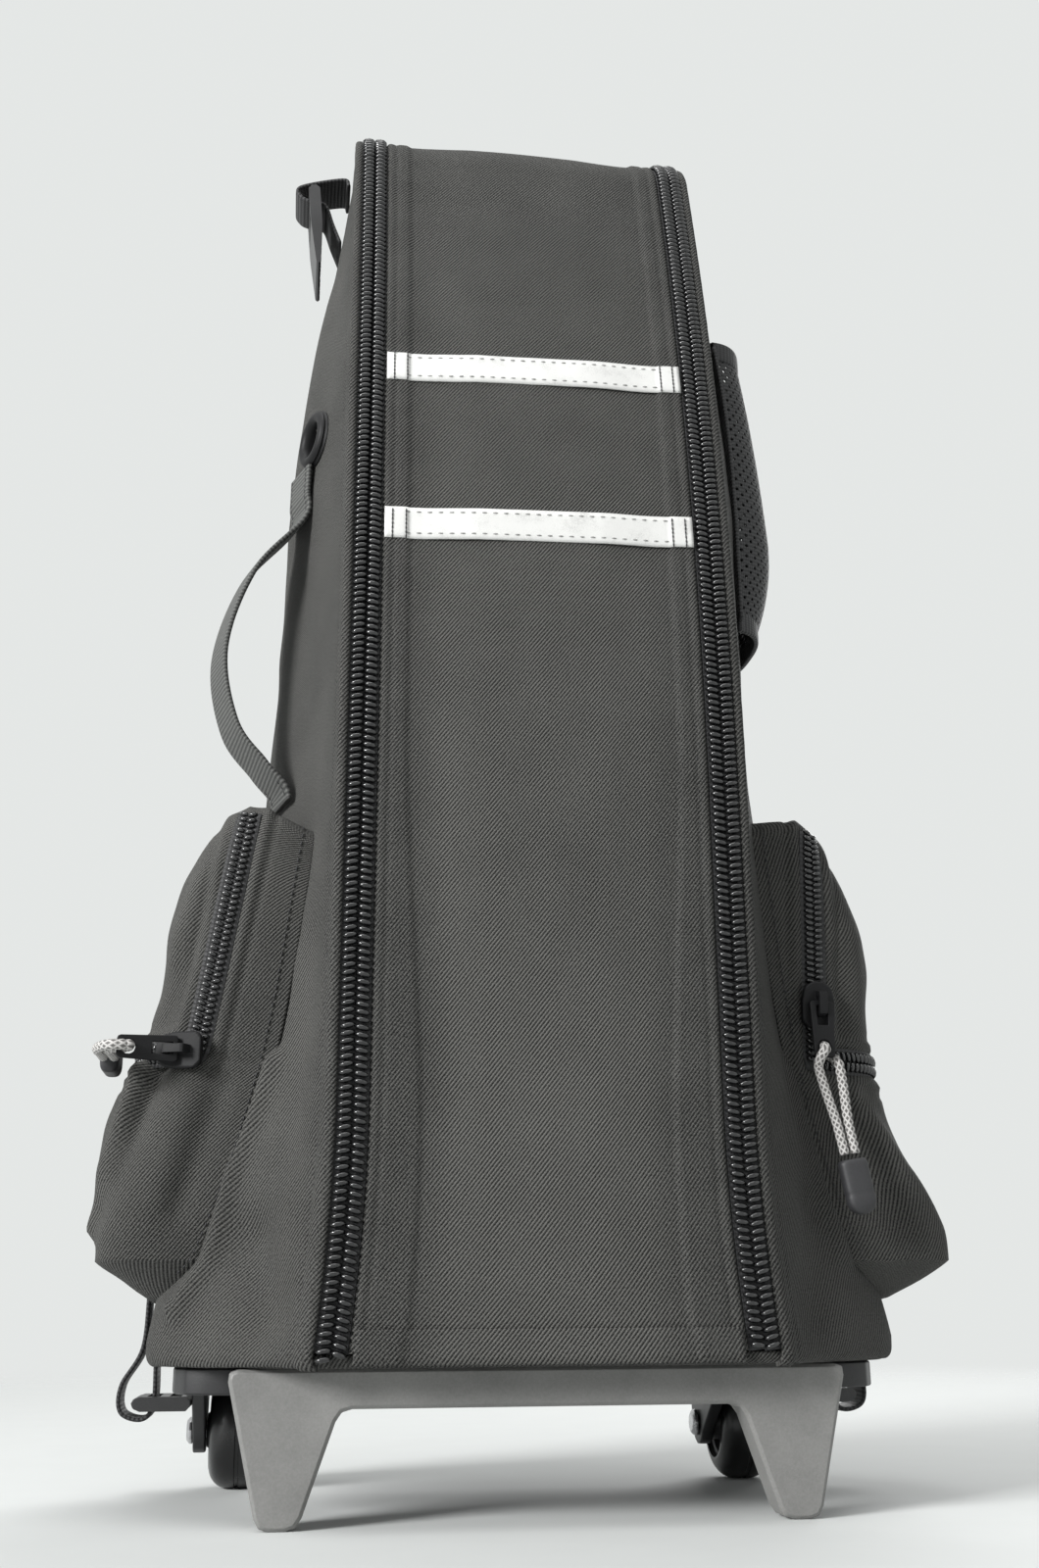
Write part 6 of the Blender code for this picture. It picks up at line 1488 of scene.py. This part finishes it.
def grommet():
    bore, barrel, rim, roll, back = (grommetLook[key] for key in ("bore", "barrel", "rim", "roll", "back"))
    profile = [(bore, 0.0006), *arc(roll, 170, 20, (bore + 0.0028, 0.0010)), (rim - 0.0008, 0.0013),
               (rim, 0.0004), (barrel, 0.0004), (barrel, -0.0040), (rim, -0.0040), (rim - 0.0006, -back),
               (bore, -back)]
    centre, out = wallPoint(port["height"], port["depth"], -1)
    spun("grommet_ring", profile, centre, out, darkMetal, "bag", "dark_metal", "tube_grommet", 56)


# handle tubes: (radius, foot, top, body) of each kind
tubeLook = {"x": 0.042, "depth": 0.1545, "wall": 0.0013, "edge": 0.0003,
            "kinds": {"outer": (0.0080, 0.0487, 0.5607, "bag"), "inner": (0.0064, 0.0584, 0.6003, "handle")}}


def handleTubes():
    edge, wall = tubeLook["edge"], tubeLook["wall"]
    for side, name in bothSides:
        for kind, (radius, low, high, body) in tubeLook["kinds"].items():
            tall = high - low
            profile = [(radius - wall, 0.0), (radius - edge, 0.0), (radius, edge), (radius, tall - edge),
                       (radius - edge, tall), (radius - wall, tall)]
            origin = at(side * tubeLook["x"], tubeLook["depth"], low)
            spun(f"{kind}_pipe_{name}", profile, origin, up, aluminium, body, "aluminium",
                 f"{kind}_tube_{name}", 48)


# gas cylinder: dished foot, domed shoulder and threaded neck, held by a strap
cylinderLook = {"radius": 0.0555, "neck": 0.017, "foot": 0.0522, "top": 0.4722, "neckTall": 0.012,
                "dome": 0.040, "dish": 0.004, "footRound": 0.006, "bore": 0.0096, "boreDeep": 0.030,
                "depth": 0.0828, "strapRadius": 0.0567, "strapHeight": 0.3112}


def gasCylinder():
    outer, neck, foot, top, dome, dish, curve, bore = (cylinderLook[key] for key in (
        "radius", "neck", "foot", "top", "dome", "dish", "footRound", "bore"))
    shoulder, bottom = top - cylinderLook["neckTall"] - dome, top - cylinderLook["boreDeep"]
    profile = [(0.0, foot + dish), (outer * 0.62, foot + dish), (outer * 0.72, foot),
               *arc(curve, -90, 0, (outer - curve, foot + curve), 6)]
    profile += [(neck + (outer - neck) * math.cos(a), shoulder + dome * math.sin(a)) for a in quarter(20)]
    profile += [(neck, top - 0.0008), (neck - 0.0008, top), (bore, top), (bore, bottom), (0.0, bottom)]
    origin = at(0, cylinderLook["depth"], 0)
    spun("cylinder_skin", profile, origin, up, cylinderPaint, "bag", "aluminium", "gas_cylinder", 96,
         closed=False)
    reach, height = cylinderLook["strapRadius"], cylinderLook["strapHeight"]
    path = [origin + Vector((reach * math.cos(a), reach * math.sin(a), height))
            for a in (math.tau * k / 96 for k in range(97))]
    webbingBand("cylinder_band", path, [up] * 97, band["cylinder"], blackWebbing, ["cylinder_strap"])


# moulded and cast parts keep their CAD form with rounded, worn edges: (edge width, finish, slot)
black, grey = (mouldedBlack, "moulded_black"), (standGrey, "moulded_grey")
steel, dark, buckle = (brightSteel, "bright_steel"), (darkMetal, "dark_metal"), (buckleGrey, "moulded_black")
roundEdges = {"kick_stand": (0.0011, *grey), "base_tray": (0.0008, *black), "tube_collar": (0.0008, *black),
              "back_board": (0.0005, *black), "handle_grip": (0.0010, *black), "grip_button": (0.0004, *grey),
              "valve_body": (0.0008, chromedBrass, "chromed_brass"), "valve_toggle": (0.0006, *black),
              "regulator": (0.0006, aluminium, "aluminium"), "flow_knob": (0.0004, *black),
              "yoke_screw": (0.0005, *steel)}
for name in ("left", "right"):
    roundEdges.update({"wheel_fork_" + name: (0.0007, *black), "axle_rivet_" + name: (0.0004, *steel),
                       "upper_lock_" + name: (0.0005, *buckle), "lower_lock_" + name: (0.0005, *buckle),
                       "pocket_slider_" + name: (0.0003, *dark), "main_slider_" + name: (0.0003, *dark),
                       "pull_tab_" + name: (0.0003, *dark), "main_pull_" + name: (0.0003, *dark)})


def roundedCopies():
    owner = {node: body for body, nodes in frame["record"]["behaviour"]["bodies"].items() for node in nodes}
    for node, (width, mat, slot) in roundEdges.items():
        bm = bmesh.new()
        bm.from_mesh(frame["nodes"][node].data)
        bmesh.ops.remove_doubles(bm, verts=bm.verts, dist=2e-6)
        bmesh.ops.dissolve_limit(bm, angle_limit=math.radians(1.5), verts=bm.verts, edges=bm.edges)
        sharp = [e for e in bm.edges if len(e.link_faces) == 2 and e.calc_face_angle() > math.radians(28)]
        bmesh.ops.bevel(bm, geom=sharp, offset=width, offset_type="OFFSET", segments=2, profile=0.5,
                        affect="EDGES", material=-1, clamp_overlap=True)
        bmesh.ops.triangulate(bm, faces=[f for f in bm.faces if len(f.verts) > 4])
        obj = publish(bm, node + "_finished", [mat], owner[node], slot, [node], angle=50)
        weight = obj.modifiers.new("flats", "WEIGHTED_NORMAL")
        weight.keep_sharp = True


for side, name in bothSides:
    for makePiece in (sidePocket, pocketZip, zipPull, upperStrap, shoulderStrap, castor):
        makePiece(side, name)
print("pockets, pulls, straps and wheels made")
for makePiece in (sideHandle, netPocket, backPad, grommet, handleTubes, gasCylinder, roundedCopies):
    makePiece()
print("net, pad, tubes, cylinder and moulded parts made")


# every CAD node that still shows takes one of the finishes
nodeFinish = {"moulded_grey": standGrey, "moulded_black": mouldedBlack, "rubber": wheelRubber,
              "dark_metal": darkMetal, "bright_steel": brightSteel, "aluminium": aluminium,
              "chromed_brass": chromedBrass, "webbing": blackWebbing, "twill_cloth": twillCloth,
              "netting": blackWebbing, "zip_coil": coil, "reflective_tape": silverTape, "pull_cord": cordYarn}
for obj in frame["nodes"].values():
    for used in obj.material_slots:
        key = used.material.name.split(".")[0] if used.material else ""
        if key in nodeFinish:
            used.material = nodeFinish[key]


# camera at the photograph's place
camLook = {"place": (-0.085826, -0.621144, 0.067025), "right": (0.99023854, -0.13927218, -0.00555914),
           "up": (-0.03863156, -0.31255857, 0.94911261), "back": (-0.13392254, -0.93963312, -0.31488784),
           "lens": 36.22, "sensor": 36, "clip": (0.01, 100)}
camera = bpy.data.objects.new("camera", bpy.data.cameras.new("camera"))
bpy.context.scene.collection.objects.link(camera)
camera.data.lens = camLook["lens"]
camera.data.sensor_width = camLook["sensor"]
camera.data.clip_start, camera.data.clip_end = camLook["clip"]
axes = Matrix((camLook["right"], camLook["up"], camLook["back"])).transposed()
camera.matrix_world = Matrix.Translation(camLook["place"]) @ axes.to_4x4()
bpy.context.scene.camera = camera

# floor that fades into a pale world, soft studio light; a lamp is its place, size and power
stageLook = {"floor": (0.74, 0.76, 0.75), "world": (0.78, 0.80, 0.79), "radius": 1.6, "fadeFrom": 0.35,
             "ambient": 0.21, "aim": (0, 0, 0.28),
             "lamps": {"keyLight": ((-1.75, -1.25, 0.95), 0.7, 62), "topLight": ((-0.3, -0.5, 2.1), 1.2, 14),
                       "fillLight": ((1.5, -1.3, 0.9), 1.0, 2), "backLight": ((0.9, 1.8, 1.2), 1.4, 30)}}


def paleFloor():
    mat, tree, shader = freshMaterial("paleFloor", 0.85)
    coords = objectCoords(tree)
    dull = tuple(c * 0.985 for c in stageLook["floor"])
    tint(tree, shader, speckle(tree, coords, 30.0, 4.0), (0.35, dull), (0.65, stageLook["floor"]))
    away = put(tree, "ShaderNodeVectorMath", operation="LENGTH")
    tree.links.new(coords, away.inputs[0])
    reach = {"From Min": stageLook["fadeFrom"], "From Max": stageLook["radius"] * 0.95}
    fade = put(tree, "ShaderNodeMapRange", reach, interpolation_type="SMOOTHSTEP")
    tree.links.new(away.outputs["Value"], fade.inputs["Value"])
    clear = put(tree, "ShaderNodeBsdfTransparent")
    mix = put(tree, "ShaderNodeMixShader")
    tree.links.new(fade.outputs["Result"], mix.inputs["Fac"])
    tree.links.new(shader.outputs[0], mix.inputs[1])
    tree.links.new(clear.outputs[0], mix.inputs[2])
    tree.links.new(mix.outputs[0], tree.nodes["Material Output"].inputs["Surface"])
    bm = bmesh.new()
    bmesh.ops.create_circle(bm, cap_ends=True, segments=96, radius=stageLook["radius"])
    publish(bm, "floor", [mat], None, None)


def paleWorld():
    # seen at full strength, but lighting the bag only a little
    world = bpy.data.worlds.new("studio")
    bpy.context.scene.world = world
    world.use_nodes = True
    tree = world.node_tree
    back = tree.nodes["Background"]
    back.inputs["Color"].default_value = (*stageLook["world"], 1)
    seen = put(tree, "ShaderNodeLightPath")
    rays = mathNode(tree, "MAXIMUM", seen.outputs["Is Camera Ray"], seen.outputs["Is Transmission Ray"])
    rays = mathNode(tree, "MAXIMUM", rays, seen.outputs["Is Glossy Ray"])
    shown = mathNode(tree, "MULTIPLY", rays, 1 - stageLook["ambient"])
    tree.links.new(mathNode(tree, "ADD", shown, stageLook["ambient"]), back.inputs["Strength"])


def studioLamps():
    for name, (place, size, power) in stageLook["lamps"].items():
        lamp = bpy.data.objects.new(name, bpy.data.lights.new(name, "AREA"))
        lamp.data.energy = power
        lamp.data.size = size
        bpy.context.scene.collection.objects.link(lamp)
        aim = (Vector(stageLook["aim"]) - Vector(place)).to_track_quat("-Z", "Y").to_matrix().to_4x4()
        lamp.matrix_world = Matrix.Translation(place) @ aim


paleFloor()
paleWorld()
studioLamps()
bpy.context.scene.view_settings.view_transform = "Standard"
